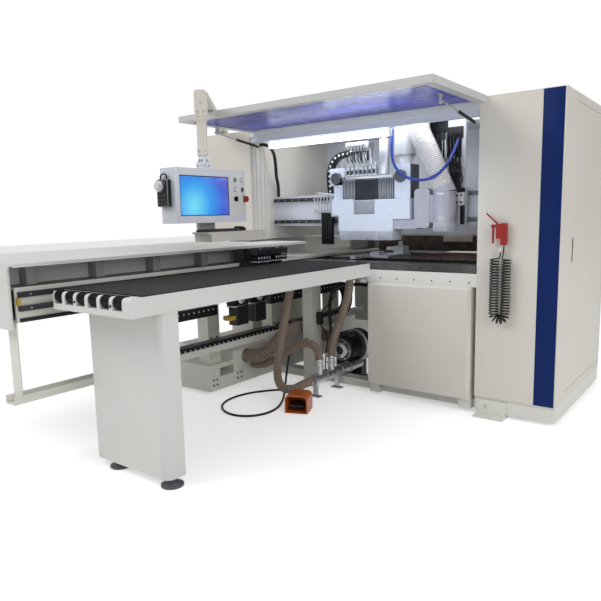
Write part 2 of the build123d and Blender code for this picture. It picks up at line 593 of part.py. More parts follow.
def head_valves():
    """Valve terminal on top of the head: a base, a row of valves, a connector tower and an air cylinder."""
    valves = block((-110, 300), (-420, -320), (1576, 1604))
    for i in range(7):
        middle = -84 + 38 * i
        valves += block(span(middle, 15), (-412, -372), (1603, 1676))
        valves += drum_z(middle, -392, (1675, 1694), 9)
    valves += block((-95, 90), (-366, -326), (1603, 1802))
    valves += block((-100, 96), (-414, -330), (1800, 1850))
    return valves + drum_z(207, -372, (1603, 1880), 38)


def dust_chute():
    """White drum over the right drive, on a funnel that stands on the drive, with the hose's top plate."""
    middle, radius = (350, -325), 76
    funnel_top = 1725
    chute = drum_z(*middle, (funnel_top, CHUTE_TOP), radius)
    wide = Plane.XY.offset(funnel_top + 1) * Pos(*middle) * Circle(radius - 8)
    neck = Plane.XY.offset(DRIVE_TOP) * Pos(376, -352) * Circle(38)
    chute += loft([wide, neck])
    return chute + block((300, 580), (-485, -330), (CHUTE_TOP, CHUTE_TOP + 10))


def router_unit():
    hood = drum_z(HOOD_X, HOOD_Y, HOOD_Z, HOOD_RADIUS) - drum_z(HOOD_X, HOOD_Y, (HOOD_Z[0] - 1, 1380), 69)
    duct = block((486, 600), (HEAD_FRONT, HEAD_BACK - 8), (1212, 1484))
    duct = fillet(duct.edges().filter_by(Axis.Y), 28)
    duct += block((560, 650), (HEAD_FRONT + 6, HEAD_BACK - 14), (HOOD_Z[0], 1440))
    duct -= drum_z(HOOD_X, HOOD_Y, (1100, HOOD_Z[1]), HOOD_RADIUS - 3)
    duct += block((320, 500), (HEAD_FRONT + 8, HEAD_BACK - 20), (1206, 1274))
    bracket = block((640, 740), (-335, HEAD_BACK), (1390, 1456))
    top = Plane(origin=HOSE_START, z_dir=HOSE_LEAN)
    collar = extrude(top * Circle(HOOD_RADIUS - 2), -48)
    unit = hood + duct + bracket + collar
    return unit - drum_z(HOOD_X, HOOD_Y, (1370, 1421), 14.1)


def router_tool():
    tool = drum_z(HOOD_X, HOOD_Y, (1320, 1420), 14) + drum_z(HOOD_X, HOOD_Y, (1268, 1321), 24)
    return tool + drum_z(HOOD_X, HOOD_Y, (1205, 1269), 8)


# Ribbed hoses: a ruled skin through four circles a rib, with a bore
def bend_radii(points):
    """Largest arc that each corner of a route allows, from the shorter of its two runs."""
    radii = []
    for before, here, after in zip(points, points[1:], points[2:]):
        inward = Vector(here) - Vector(before)
        onward = Vector(after) - Vector(here)
        turn = radians(inward.get_angle(onward))
        radii.append(0.45 * min(inward.length, onward.length) / tan(turn / 2))
    return radii


def ribbed_hose(points, radius, ribs, rib_height, wall):
    route = FilletPolyline(*points, radius=bend_radii(points))
    length = route.length
    across = None
    outer, inner = [], []
    steps = ((0.0, radius - rib_height), (0.28, radius - rib_height), (0.5, radius), (0.78, radius))
    stations = [((i + part) / ribs, size) for i in range(ribs) for part, size in steps]
    stations.append((1.0, radius - rib_height))
    for place, size in stations:
        spot = route.position_at(place * length, position_mode=PositionMode.LENGTH)
        ahead = route.tangent_at(place * length, position_mode=PositionMode.LENGTH)
        across = across or Vector(0, 1, 0).cross(ahead).cross(ahead)
        across = (across - ahead * across.dot(ahead)).normalized()
        plane = Plane(origin=spot, x_dir=across, z_dir=ahead)
        outer.append(Wire.make_circle(size, plane))
        inner.append(Wire.make_circle(radius - rib_height - wall, plane))
    bore = Solid.make_loft(inner[::4], ruled=True)
    return Solid.make_loft(outer, ruled=True) - bore


def cord(points, radius):
    """Round cord along straight runs joined by tangent arcs."""
    route = FilletPolyline(*points, radius=bend_radii(points))
    start = Plane(origin=route @ 0, z_dir=route % 0)
    return sweep(start * Circle(radius), path=route)


def at_depth(y, places):
    """Route in an upright plane at one Y from its (X, Z) places."""
    return [(x, y, z) for x, z in places]


WIRING_ROUTE = at_depth(-530, [
    (223, 798), (130, 798), (20, 797), (-75, 787), (-140, 757), (-178, 696), (-190, 600), (-184, 490), (-176, 370),
    (-172, 230), (-172, SILL_TOP)])
WIRE_Y = -552
WIRE_ABOVE = at_depth(WIRE_Y, [
    (-100, BED_BAND[0]), (-100, 775), (-126, 702), (-172, 640), (-222, 600), (-256, 560)])
WIRE_BELOW = at_depth(WIRE_Y, [
    (-262, 472), (-244, 440), (-214, 408), (-199, 366), (-202, 306), (-214, 240), (-220, 170), (-220, SILL_TOP)])


def joined_wire():
    """Thin wire that hangs from the bed, with an inline connector half way down."""
    connector = fillet(block((-290, -244), span(WIRE_Y, 18), (468, 566)).edges().filter_by(Axis.Z), 6)
    return connector + cord(WIRE_ABOVE, 5) + cord(WIRE_BELOW, 5)


def suction_hoses():
    """Three branch hoses, the wide trunk hose, the cable conduit above and the wiring below the bed."""
    loop = [(-168, -1010, HOSE_TOP), (-178, -1010, 880), (-204, -1010, 763), (-254, -1010, 574), (-302, -1010, 385),
            (-330, -1012, 223), (-302, -1048, 134), (-226, -1095, 100), (-150, -1124, 102), (-96, -1094, 114),
            (MANIFOLD_X, -1030, MANIFOLD_Z), (MANIFOLD_X, MANIFOLD_END, MANIFOLD_Z)]
    arch = at_depth(STUB_PLACES[0], [
        (MANIFOLD_X, STUB_TOP), (MANIFOLD_X, 312), (-126, 372), (-214, 380), (-320, 330), (-440, 246), (-552, 184),
        (-660, 150), (BASE_RIGHT, 150)])
    riser = at_depth(STUB_PLACES[1], [
        (MANIFOLD_X, STUB_TOP), (MANIFOLD_X, 316), (-48, 420), (6, 540), (62, 680), (90, 788), (92, 868),
        (92, HOSE_TOP)])
    trunk = [(BASE_RIGHT, -905, 234), (-630, -905, 234), (-545, -880, 275), (-495, -800, 355), (-478, -690, 415),
             (-476, -570, 430), (-478, -460, 405), (-476, -350, 350), (-450, PORT_PLACE[1], PORT_PLACE[2]),
             PORT_PLACE]
    conduit = [(POST_RIGHT, -484, 1899), (-844, -484, 1899), (-804, -475, 1880), (-774, -451, 1834),
               (-782, -425, 1770), (-806, -388, 1705), (-862, -318, 1650), (-920, -222, 1578), (-934, -203, 1532),
               (-934, -203, GANTRY_Z[1])]
    branches = [ribbed_hose(route, 31, ribs, 4, 3) for route, ribs in ((loop, 74), (arch, 42), (riser, 40))]
    wiring = [cord(WIRING_ROUTE, 13), joined_wire()]
    return branches + [ribbed_hose(trunk, 54, 52, 6, 4), ribbed_hose(conduit, 14, 30, 2, 2)] + wiring


def head_hoses():
    """Wide suction hose of the router hood, and the air hose that hangs in a loop in front of it."""
    start, lean = Vector(*HOSE_START), Vector(*HOSE_LEAN).normalized()
    suction = [tuple(start), tuple(start + lean * 170), (545, -407, 1790), (506, -408, 1868), (500, -408, 1920),
               (500, -408, CHUTE_TOP)]
    air = [(312, -446, CHUTE_TOP), (312, -446, 1912), (306, -450, 1766), (337, -472, 1652), (429, -496, 1566),
           (558, -500, 1534), (664, -498, 1553), (734, -470, 1626), (755, -400, 1724), (751, -345, 1780),
           (745, -298, 1822)]
    return [ribbed_hose(suction, 74, 30, 4, 4), cord(air, AIR_HOSE_RADIUS)]


# Bed, panel pusher, lower covers and the suction plant below the bed
def bed_plates():
    front = block((BED_X[0], 1000), (-612, -470), (BED_BAND[1], TABLE_TOP))
    for z in (937, 958):
        front -= block((BED_X[0] - 1, 1001), (-613, -608), span(z, 2.5))
    front -= [drum_y(x, (-613, -606), 947.5, 5) for x in range(260, 1000, 90)]
    rear = block((BED_X[0], 1000), (-200, 606), (BED_BAND[1], TABLE_TOP))
    for y in range(-100, 520, 100):
        rear -= block((250, 1001), span(y, 9), (TABLE_TOP - 8, TABLE_TOP + 1))
    return [front, rear]


def panel_pusher():
    unit = block((-62, 140), (-195, 180), (TABLE_TOP, 992))
    unit += block((-62, -14), (-425, -190), (980, 1004))
    unit += block((46, 132), (66, 172), (991, 1052))
    unit += drum_x((-40, 48), 118, 1030, 16)
    unit += drum_z(88, 118, (1051, 1090), 20)
    unit += block((-50, 30), (-150, -60), (991, 1016))
    return unit


def lower_covers():
    """Cover below the bed on the infeed side, and the one on the outfeed side with its guard beside the bed."""
    cover = block((223, 981), (-644, -BRIDGE_HALF), (96, BED_BAND[0]))
    front = cover.edges().group_by(Axis.Y)[0]
    cover = chamfer(front.sort_by(Axis.Z)[-1:] + front.filter_by(Axis.Z).sort_by(Axis.X)[-1:], 18)
    rear = block((BED_X[0], 981), (BRIDGE_HALF, 640), (96, BED_BAND[0]))
    rear += block((BED_X[0], BED_X[0] + 12), (639, 656), (BASE_TOP, 790))
    rear += block((TRAY_X[0] - 2, BED_X[0] + 12), (644, 656), (BASE_TOP, 790))
    tray_gap = block((TRAY_X[0] - 6, TRAY_X[1] + 6), (643, 657), (TRAY_Z[0] - 6, TRAY_Z[1] + 6))
    return [cover, rear - tray_gap]


def ring_blower():
    """Side-channel blower: round housing with its inlet port, the motor in front of it, and the feet."""
    front, back = BLOWER_Y
    housing = drum_y(BLOWER_X, BLOWER_Y, BLOWER_Z, 135)
    blower = fillet(housing.edges().filter_by(GeomType.CIRCLE), 18)
    blower += drum_y(BLOWER_X, (-440, front + 1), BLOWER_Z, 92)
    for i in range(8):
        blower += drum_y(BLOWER_X, span(-424 + 20 * i, 4), BLOWER_Z, 99)
    blower += drum_y(BLOWER_X, (-462, -439), BLOWER_Z, 78)
    blower += drum_y(BLOWER_X, (-478, -461), BLOWER_Z, 62)
    blower += drum_x((PORT_PLACE[0], BLOWER_X), PORT_PLACE[1], PORT_PLACE[2], 44)
    blower += drum_x((PORT_PLACE[0], PORT_PLACE[0] + 14), PORT_PLACE[1], PORT_PLACE[2], 54)
    blower += block((-205, -64), (front + 8, back - 8), (FLOOR, BLOWER_Z - 120))
    blower += block((-205, -126), (-420, -300), (FLOOR, BLOWER_Z - 60))
    return blower + block((-215, -56), (front + 2, back + 4), (FLOOR, 14))


def suction_manifold():
    x, z, radius = MANIFOLD_X, MANIFOLD_Z, MANIFOLD_RADIUS
    pipe = drum_y(x, (MANIFOLD_END, BLOWER_Y[0]), z, radius)
    for y in STUB_PLACES:
        pipe += drum_z(x, y, (z, STUB_TOP), 27)
        pipe += drum_z(x, y, (STUB_TOP - 40, STUB_TOP - 30), 33)
    for y in (MANIFOLD_END + 12, -760, -560, -440):
        pipe += drum_y(x, span(y, 6), z, radius + 6)
    for y in (-880, -600):
        pipe += block(span(x, 20), span(y, 6), (FLOOR, z))
        pipe += block(span(x, 45), span(y, 25), (FLOOR, 8))
    return pipe


# Control station on its swing boom
def control_boom():
    run = hypot(POST_PLACE[0] - BOOM_BASE[0], POST_PLACE[1] - BOOM_BASE[1])
    angle = Vector(1, 0, 0).get_signed_angle(
        Vector(POST_PLACE[0] - BOOM_BASE[0], POST_PLACE[1] - BOOM_BASE[1], 0), Vector(0, 0, 1))
    arm = block((-55, run - 30), span(0, 36), BOOM_Z)
    arm = fillet(arm.edges().filter_by(Axis.Z).sort_by(Axis.X)[:2], 30)
    elbow = block(span(run, 36), span(0, 36), (1895, BOOM_Z[1]))
    elbow = fillet(elbow.edges().filter_by(Axis.X).group_by(Axis.Z)[-1], 16)
    post = block(span(run, 28), span(0, 28), (SWIVEL_Z, 1896))
    post += block(span(run, 31), span(0, 31), (SWIVEL_Z, 1735))
    boom = Pos(*BOOM_BASE, 0) * Rot(0, 0, angle) * (arm + elbow + post)
    return boom + drum_z(*BOOM_BASE, (LEFT_Z[1] + 14.5, BOOM_Z[1]), 44)


def control_box():
    box = block(BOX_X, BOX_Y, BOX_Z)
    box = fillet(box.edges().filter_by(Axis.Z), 8)
    face = BOX_X[1]
    box -= block((face - 5, face + 1), SCREEN_Y, SCREEN_Z)
    for y in BUTTON_COLUMNS:
        for z in BUTTON_ROWS:
            box += drum_x((face - 1, face + 4), y, z, BUTTON_RADIUS + 4)
            box -= drum_x((face - 6, face + 5), y, z, BUTTON_RADIUS + BUTTON_PLAY)
    box -= drum_x((face - 14, face + 5), *STOP_PLACE, 10 + BUTTON_PLAY)
    box += block((-352, -262), (BOX_Y[0] - 32, BOX_Y[0] + 1), (1385, 1535))
    box += drum_z(POST_PLACE[0], POST_PLACE[1], (BOX_Z[1] - 1, SWIVEL_Z - 0.5), 29)
    box += block(span(POST_PLACE[0], 30), span(POST_PLACE[1], 30), (BOX_Z[1] - 1, 1650))
    return box - drum_y(WHEEL_PLACE[0], (BOX_Y[0] - 33, BOX_Y[0] - 20), WHEEL_PLACE[1], WHEEL_SHAFT + 0.1)


def keyboard_tray():
    """Thin tray with a deep apron below it, hung from the back of the control box."""
    tray = block((-345, -183), (-1787, -1248), (1217, 1229))
    tray = fillet(tray.edges().filter_by(Axis.Z), 14)
    tray += block((-330, -184), (-1770, -1264), (1170, 1218))
    return tray + block((-344, -324), (-1740, -1600), (1228, BOX_Z[0]))


def push_button(y, z):
    return drum_x((BOX_X[1] - 2, BOX_X[1] + 9), y, z, BUTTON_RADIUS)


def mode_selector():
    y, z = SELECTOR_PLACE
    knob = drum_x((BOX_X[1] + 0.4, BOX_X[1] + 10), y, z, 15)
    return knob + block((BOX_X[1] + 9, BOX_X[1] + 21), span(y, 4), span(z, 15))


def emergency_stop():
    y, z = STOP_PLACE
    head = fillet(drum_x((BOX_X[1] + 12, BOX_X[1] + 30), y, z, 20).edges().sort_by(Axis.X)[-1:], 6)
    return head + drum_x((BOX_X[1] - 7, BOX_X[1] + 13), y, z, 10)


def handwheel():
    x, z = WHEEL_PLACE
    rear = BOX_Y[0] - 32
    wheel = drum_y(x, (rear - 16, rear - 2), z, WHEEL_RADIUS) + drum_y(x, (rear - 22, rear - 15), z, 20)
    wheel += drum_y(x, (rear - 3, rear + 11), z, WHEEL_SHAFT)
    return wheel + drum_y(x + 20, (rear - 34, rear - 15), z + 6, 5)


# Foot switch with its guard, pedal and cable
def place_switch(shape):
    return Pos(*SWITCH_PLACE, 0) * Rot(0, 0, SWITCH_TURN) * shape


def foot_switch_guard():
    half = SWITCH_WIDTH / 2
    guard = block(span(0, half), (0, SWITCH_DEPTH), (FLOOR, SWITCH_HEIGHT))
    guard = fillet(guard.edges().filter_by(Axis.Y).group_by(Axis.Z)[-1], 34)
    hollow = block(span(0, half - 9), (-1, SWITCH_DEPTH - 10), (8, SWITCH_HEIGHT - 10))
    hollow = fillet(hollow.edges().filter_by(Axis.Y).group_by(Axis.Z)[-1], 26)
    return place_switch(guard - hollow)


def foot_pedal():
    pedal = block(span(0, 46), (14, 118), (42, 54)) + block(span(0, 46), (100, 130), (36, 54))
    pedal += drum_x(span(0, SWITCH_WIDTH / 2 - 9.4), 122, 45, 6)
    return place_switch(pedal)


def switch_place(x, y, z):
    """Point given across, behind and above the front of the foot switch."""
    turn = radians(SWITCH_TURN)
    along = SWITCH_PLACE[0] + x * cos(turn) - y * sin(turn)
    return (along, SWITCH_PLACE[1] + x * sin(turn) + y * cos(turn), z)


CABLE_ROUTE = [
    switch_place(-40, SWITCH_DEPTH + 0.1, 18), switch_place(-40, SWITCH_DEPTH + 115, 18),
    (-172, -930, 8), (-268, -868, 8), (-378, -892, 8),
    (-462, -982, 8), (-532, -1094, 8), (-560, -1215, 8), (-548, -1340, 8), (-488, -1450, 8), (-385, -1524, 8),
    (-262, -1542, 8), (-158, -1480, 8), (-116, -1365, 8), (-140, -1240, 8), (-198, -1128, 8),
    (-268, -1020, 10), (-338, -918, 36), (-400, -826, 86), (-424, -775, 162), (-417, -762, 238),
    (-375, -747, 310), (-350, -689, 352), (-350, -BRIDGE_HALF, 352),
]


def foot_switch_cable():
    return cord(CABLE_ROUTE, CABLE_RADIUS)


# Blow gun on its peg, with a curly hose hung in a hairpin
GUN_MIDDLE = (GUN_Y[0] + GUN_Y[1]) / 2


def blow_gun_body():
    """Grip, valve housing, two cheeks with the trigger's pin, and the slanted nozzle."""
    body = fillet(block((1170, 1206), GUN_Y, (1112, 1246)).edges().filter_by(Axis.Y), 8)
    body += block((1142, 1176), GUN_Y, (1152, 1240))
    for y in ((GUN_Y[0], GUN_MIDDLE - TRIGGER_HALF - 0.6), (GUN_MIDDLE + TRIGGER_HALF + 0.6, GUN_Y[1])):
        body += block((TRIGGER_PIVOT[0] - 9, 1176), y, span(TRIGGER_PIVOT[1], 9))
    body += drum_y(TRIGGER_PIVOT[0], GUN_Y, TRIGGER_PIVOT[1], TRIGGER_PIN)
    nozzle = Line((1150, GUN_MIDDLE, 1238), (1076, GUN_MIDDLE, 1307))
    return body + sweep(Plane(origin=nozzle @ 0, z_dir=nozzle % 0) * Circle(5), path=nozzle)


def gun_trigger():
    x, z = TRIGGER_PIVOT
    width = span(GUN_MIDDLE, TRIGGER_HALF)
    lever = block(span(x, 4), width, (1122, z)) + drum_y(x, width, z, 7)
    return lever - drum_y(x, GUN_Y, z, TRIGGER_PIN + 0.1)


def coil_place(turns):
    """Point of the curly hose after so many turns: down one leg, round the bend and up the other."""
    leg = COIL_TOP - COIL_BOTTOM
    swing = 2 * pi * turns
    if turns <= COIL_LEG_TURNS:
        axis = Vector(COIL_MIDDLE - COIL_SPREAD, COIL_Y, COIL_TOP - leg * turns / COIL_LEG_TURNS)
        outward = Vector(1, 0, 0)
    elif turns <= COIL_LEG_TURNS + COIL_BEND_TURNS:
        around = pi * (turns - COIL_LEG_TURNS) / COIL_BEND_TURNS
        outward = Vector(cos(around), 0, sin(around))
        axis = Vector(COIL_MIDDLE, COIL_Y, COIL_BOTTOM) - outward * COIL_SPREAD
    else:
        done = turns - COIL_LEG_TURNS - COIL_BEND_TURNS
        axis = Vector(COIL_MIDDLE + COIL_SPREAD, COIL_Y, COIL_BOTTOM + leg * done / COIL_LEG_TURNS)
        outward = Vector(-1, 0, 0)
    return axis + (outward * cos(swing) + Vector(0, 1, 0) * sin(swing)) * COIL_RADIUS


def biarc(start, start_way, end, end_way):
    """Two tangent arcs from one place and heading to another."""
    gap = end - start
    both = start_way + end_way
    spread = 2 * (1 - start_way.dot(end_way))
    reach = gap.dot(both)
    size = (sqrt(reach**2 + spread * gap.dot(gap)) - reach) / spread
    first = start + start_way * size
    second = end - end_way * size
    joint = (first + second) * 0.5
    return [arc_between(start, first, joint), arc_between(joint, second, end)]


def arc_between(start, corner, end):
    turn = radians((corner - start).get_angle(end - corner))
    weight = cos(turn / 2)
    middle = (start + corner * (2 * weight) + end) * (1 / (2 + 2 * weight))
    return Edge.make_three_point_arc(start, middle, end)


def blow_gun_hose():
    last = 2 * COIL_LEG_TURNS + COIL_BEND_TURNS
    nudge = 0.002
    places = [i / 2 for i in range(2 * last + 1)]
    points = [coil_place(turns) for turns in places]
    ways = []
    for turns in places:
        ahead = coil_place(min(turns + nudge, last))
        behind = coil_place(max(turns - nudge, 0))
        ways.append((ahead - behind).normalized())
    outlet = Vector(COIL_MIDDLE - 6, -640, 1069)
    grip = Vector(1189, GUN_MIDDLE, 1112)
    points = [outlet] + points + [grip]
    ways = [Vector(0, 0, -1)] + ways + [Vector(0, 0, 1)]
    edges = []
    for i in range(len(points) - 1):
        edges += biarc(points[i], ways[i], points[i + 1], ways[i + 1])
    route = Wire(edges)
    start = Plane(origin=points[0], z_dir=ways[0])
    return sweep(start * Circle(COIL_WIRE), path=route)


os.makedirs("parts", exist_ok=True)
save("base_frame", base_frame())
save("levelling_feet", *levelling_feet())
save("table_pedestals", table_pedestal(), mirrored(table_pedestal()))
save("infeed_table_frame", infeed_table_frame())
save("outfeed_table_frame", mirrored(table_frame()))
save("table_mats", table_mat(), mirrored(table_mat()))
save("infeed_end_rollers", end_rollers())
save("clamp_beam", clamp_beam())
save("linear_rails", *linear_rails())
save("clamp_covers", clamp_cover(), mirrored(clamp_cover()))
save("chain_tray", chain_tray())
save("drag_chains", *cable_chains())
for place, y in (("near", CLAMP_NEAR), ("far", CLAMP_FAR)):
    save(f"clamp_carriage_{place}", clamp_carriage(y))
    save(f"clamp_jaw_{place}", clamp_jaw(y))
    save(f"clamp_servo_{place}", clamp_servo(y))
save("right_cabinet", right_cabinet())
save("cabinet_door", cabinet_door())
save("left_cabinet", *left_cabinet())
save("front_header", front_header())
save("rear_wall", rear_wall())
save("lid_panel", lid_panel())
save("lid_liner", lid_liner())
save("strut_cylinders", *[strut_cylinder(x) for x in STRUT_PLACES])
save("strut_rods", *[strut_rod(x) for x in STRUT_PLACES])
save("gantry_beam", gantry_beam())
save("head_carriage", head_carriage())
save("drill_block", drill_block())
save("drill_motors", *drill_motors())
save("head_cover", head_cover())
save("bristle_skirts", head_skirt(), hood_skirt())
save("head_valves", head_valves())
save("dust_chute", dust_chute())
save("router_unit", router_unit())
save("router_tool", router_tool())
save("head_hoses", *head_hoses())
save("suction_hoses", *suction_hoses())
save("bed_plates", *bed_plates())
save("panel_pusher", panel_pusher())
save("lower_covers", *lower_covers())
save("ring_blower", ring_blower())
save("suction_manifold", suction_manifold())
save("control_boom", control_boom())
save("control_box", control_box())
save("keyboard_tray", keyboard_tray())
for column, y in zip("ab", BUTTON_COLUMNS):
    for row, z in zip("12", BUTTON_ROWS):
        save(f"push_button_{column}{row}", push_button(y, z))
save("mode_selector", mode_selector())
save("emergency_stop", emergency_stop())
save("handwheel", handwheel())
save("foot_switch_guard", foot_switch_guard())
save("foot_pedal", foot_pedal())
save("foot_switch_cable", foot_switch_cable())
save("blow_gun_body", blow_gun_body())
save("gun_trigger", gun_trigger())
save("blow_gun_hose", blow_gun_hose())
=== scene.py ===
import math
import random
from itertools import product

import bmesh
import bpy
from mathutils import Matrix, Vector


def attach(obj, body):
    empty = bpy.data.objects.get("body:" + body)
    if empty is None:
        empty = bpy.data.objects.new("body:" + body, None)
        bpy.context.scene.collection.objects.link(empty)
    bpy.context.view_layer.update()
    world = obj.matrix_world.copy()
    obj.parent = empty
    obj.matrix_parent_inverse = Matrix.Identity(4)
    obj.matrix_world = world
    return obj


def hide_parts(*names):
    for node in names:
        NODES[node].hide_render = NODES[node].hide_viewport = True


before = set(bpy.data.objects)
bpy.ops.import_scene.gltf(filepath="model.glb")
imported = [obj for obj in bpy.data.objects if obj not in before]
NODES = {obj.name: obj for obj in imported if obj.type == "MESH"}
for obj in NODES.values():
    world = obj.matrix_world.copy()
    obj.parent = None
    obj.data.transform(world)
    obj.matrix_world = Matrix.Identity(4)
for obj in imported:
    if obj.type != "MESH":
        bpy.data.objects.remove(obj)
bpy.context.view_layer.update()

MM = 0.001
RIGHT, FRONT, REAR, UP, DOWN = (1, 0, 0), (0, -1, 0), (0, 1, 0), (0, 0, 1), (0, 0, -1)
random.seed(7)

# Camera of the photograph, in millimetres, degrees and pixels of a 601 pixel square
CAMERA_PLACE = (2412.5, -4319.0, 1320.0)
CAMERA_TILT, CAMERA_ROLL, CAMERA_HEADING = 81.875, 1.203, 37.094
FOCAL_PIXELS, FRAME_PIXELS, SENSOR = 598.3, 601, 36.0


def show(name, data):
    """Puts a new object in the scene."""
    made = bpy.data.objects.new(name, data)
    bpy.context.scene.collection.objects.link(made)
    return made


def make_camera():
    data = bpy.data.cameras.new("photo_camera")
    data.sensor_width = SENSOR
    data.lens = FOCAL_PIXELS / FRAME_PIXELS * SENSOR
    data.clip_end = 100
    camera = show("photo_camera", data)
    camera.location = Vector(CAMERA_PLACE) * MM
    camera.rotation_euler = [math.radians(angle) for angle in (CAMERA_TILT, CAMERA_ROLL, CAMERA_HEADING)]
    bpy.context.scene.camera = camera


# Materials
class Shader:
    """One material: a principled shader and the texture nodes that feed it, in object metres."""

    def __init__(self, name, colour, roughness, metallic=0.0):
        self.material = bpy.data.materials.new(name)
        self.material.use_nodes = True
        self.tree = self.material.node_tree
        self.base = self.tree.nodes["Principled BSDF"]
        self.colour, self.roughness = colour, roughness
        self.set(Base_Color=(*colour, 1), Roughness=roughness, Metallic=metallic)
        self.place = self.node("ShaderNodeTexCoord").outputs["Object"]

    def node(self, kind, values=None, **settings):
        """New node: values go to its inputs, settings to the node itself."""
        made = self.tree.nodes.new(kind)
        for key, value in settings.items():
            setattr(made, key, value)
        for key, value in (values or {}).items():
            made.inputs[key].default_value = value
        return made

    def link(self, source, target):
        self.tree.links.new(source, target)

    def noise(self, scale, detail, stretch):
        mapping = self.node("ShaderNodeMapping", {"Scale": stretch})
        self.link(self.place, mapping.inputs["Vector"])
        noise = self.node("ShaderNodeTexNoise", {"Scale": scale, "Detail": detail})
        self.link(mapping.outputs["Vector"], noise.inputs["Vector"])
        return noise.outputs["Fac"]

    def ramp(self, source, stops):
        ramp = self.node("ShaderNodeValToRGB")
        elements = ramp.color_ramp.elements
        while len(elements) < len(stops):
            elements.new(0.5)
        for element, (place, colour) in zip(elements, stops):
            element.position = place
            element.color = (*colour, 1)
        self.link(source, ramp.inputs["Fac"])
        return ramp.outputs["Color"]

    def mottle(self, scale, spread, stretch=(1, 1, 1)):
        dark = tuple(c * (1 - spread) for c in self.colour)
        light = tuple(min(1, c * (1 + spread)) for c in self.colour)
        tone = self.ramp(self.noise(scale, 4.0, stretch), [(0.3, dark), (0.7, light)])
        self.link(tone, self.base.inputs["Base Color"])
        return self

    def uneven_gloss(self, scale, spread, stretch=(1, 1, 1)):
        low, high = max(0.02, self.roughness - spread), min(1, self.roughness + spread)
        spreader = self.node("ShaderNodeMapRange", {"To Min": low, "To Max": high})
        self.link(self.noise(scale, 3.0, stretch), spreader.inputs["Value"])
        self.link(spreader.outputs["Result"], self.base.inputs["Roughness"])
        return self

    def grain(self, scale, strength, depth, stretch=(1, 1, 1)):
        bump = self.node("ShaderNodeBump", {"Strength": strength, "Distance": depth})
        self.link(self.noise(scale, 2.0, stretch), bump.inputs["Height"])
        self.link(bump.outputs["Normal"], self.base.inputs["Normal"])
        return self

    def set(self, **values):
        for name, value in values.items():
            self.base.inputs[name.replace("_", " ")].default_value = value
        return self


def paint(name, colour, roughness=0.42, spread=0.025, shine=0.5):
    """Powder coat: faint orange peel, slow tone changes and slightly uneven gloss."""
    shader = Shader(name, colour, roughness)
    shader.mottle(2.2, spread).uneven_gloss(5.0, 0.07).grain(900, 0.10, 0.0003)
    return shader.set(Specular_IOR_Level=shine).material


def metal(name, colour, roughness=0.34, stretch=(1, 40, 40), spread=0.12):
    """Ground or brushed metal, drawn out along one axis."""
    shader = Shader(name, colour, roughness, 1.0)
    shader.mottle(18, spread, stretch).uneven_gloss(30, 0.1, stretch).grain(60, 0.12, 0.0002, stretch)
    return shader.material


def plastic(name, colour, roughness, spread, grain=700, shine=0.5):
    shader = Shader(name, colour, roughness)
    shader.mottle(14, spread).uneven_gloss(25, 0.06).grain(grain, 0.15, 0.0003)
    return shader.set(Specular_IOR_Level=shine).material


def hose_skin(name, colour, through, valley_shade=0.4):
    """Ribbed hose: the mesh's crest value paints a highlight on the ribs and painted shade in the valleys
    between them.
    """
    shader = Shader(name, colour, 0.3)
    crest = shader.node("ShaderNodeAttribute", attribute_name="crest").outputs["Fac"]
    # Painted shade in the valleys, painted highlight on the crests
    dark = tuple(c * valley_shade for c in colour)
    light = tuple(min(1, c * 1.3) for c in colour)
    tone = shader.ramp(crest, [(0.05, dark), (0.75, colour), (1.0, light)])
    shader.link(tone, shader.base.inputs["Base Color"])
    shader.uneven_gloss(40, 0.08).grain(500, 0.1, 0.0003)
    return shader.set(Transmission_Weight=through, IOR=1.35).material


def screen_picture():
    """Plain desktop glow: cyan low on the left, indigo towards the top and right."""
    shader = Shader("screen_picture", (0.02, 0.03, 0.08), 0.18)
    glow_place = {"Location": (-0.221, -1.86, 1.39), "Scale": (0.34, 0.34, 0.34)}
    mapping = shader.node("ShaderNodeMapping", glow_place, vector_type="TEXTURE")
    shader.link(shader.place, mapping.inputs["Vector"])
    glow = shader.node("ShaderNodeTexGradient", gradient_type="SPHERICAL")
    shader.link(mapping.outputs["Vector"], glow.inputs["Vector"])
    indigo, blue, azure, cyan = (0.10, 0.06, 0.42), (0.05, 0.13, 0.72), (0.03, 0.36, 0.92), (0.16, 0.78, 0.98)
    picture = shader.ramp(glow.outputs["Fac"], [(0.0, indigo), (0.3, blue), (0.62, azure), (0.95, cyan)])
    shader.link(picture, shader.base.inputs["Emission Color"])
    shader.grain(400, 0.02, 0.0001)
    return shader.set(Emission_Strength=0.85).material


def lamp_glow():
    shader = Shader("lamp_glow", (0.95, 0.96, 1.0), 0.3)
    shader.mottle(30, 0.02)
    return shader.set(Emission_Color=(0.82, 0.89, 1.0, 1), Emission_Strength=3.0).material


def film_skin():
    """Glossy protective film, wrinkled and unevenly stretched."""
    shader = Shader("lid_film", (0.07, 0.08, 0.46), 0.26)
    shader.mottle(3.0, 0.30, (1, 2.5, 1)).uneven_gloss(6, 0.12).grain(9, 0.5, 0.006, (0.6, 3, 1))
    return shader.set(Specular_IOR_Level=0.12).material


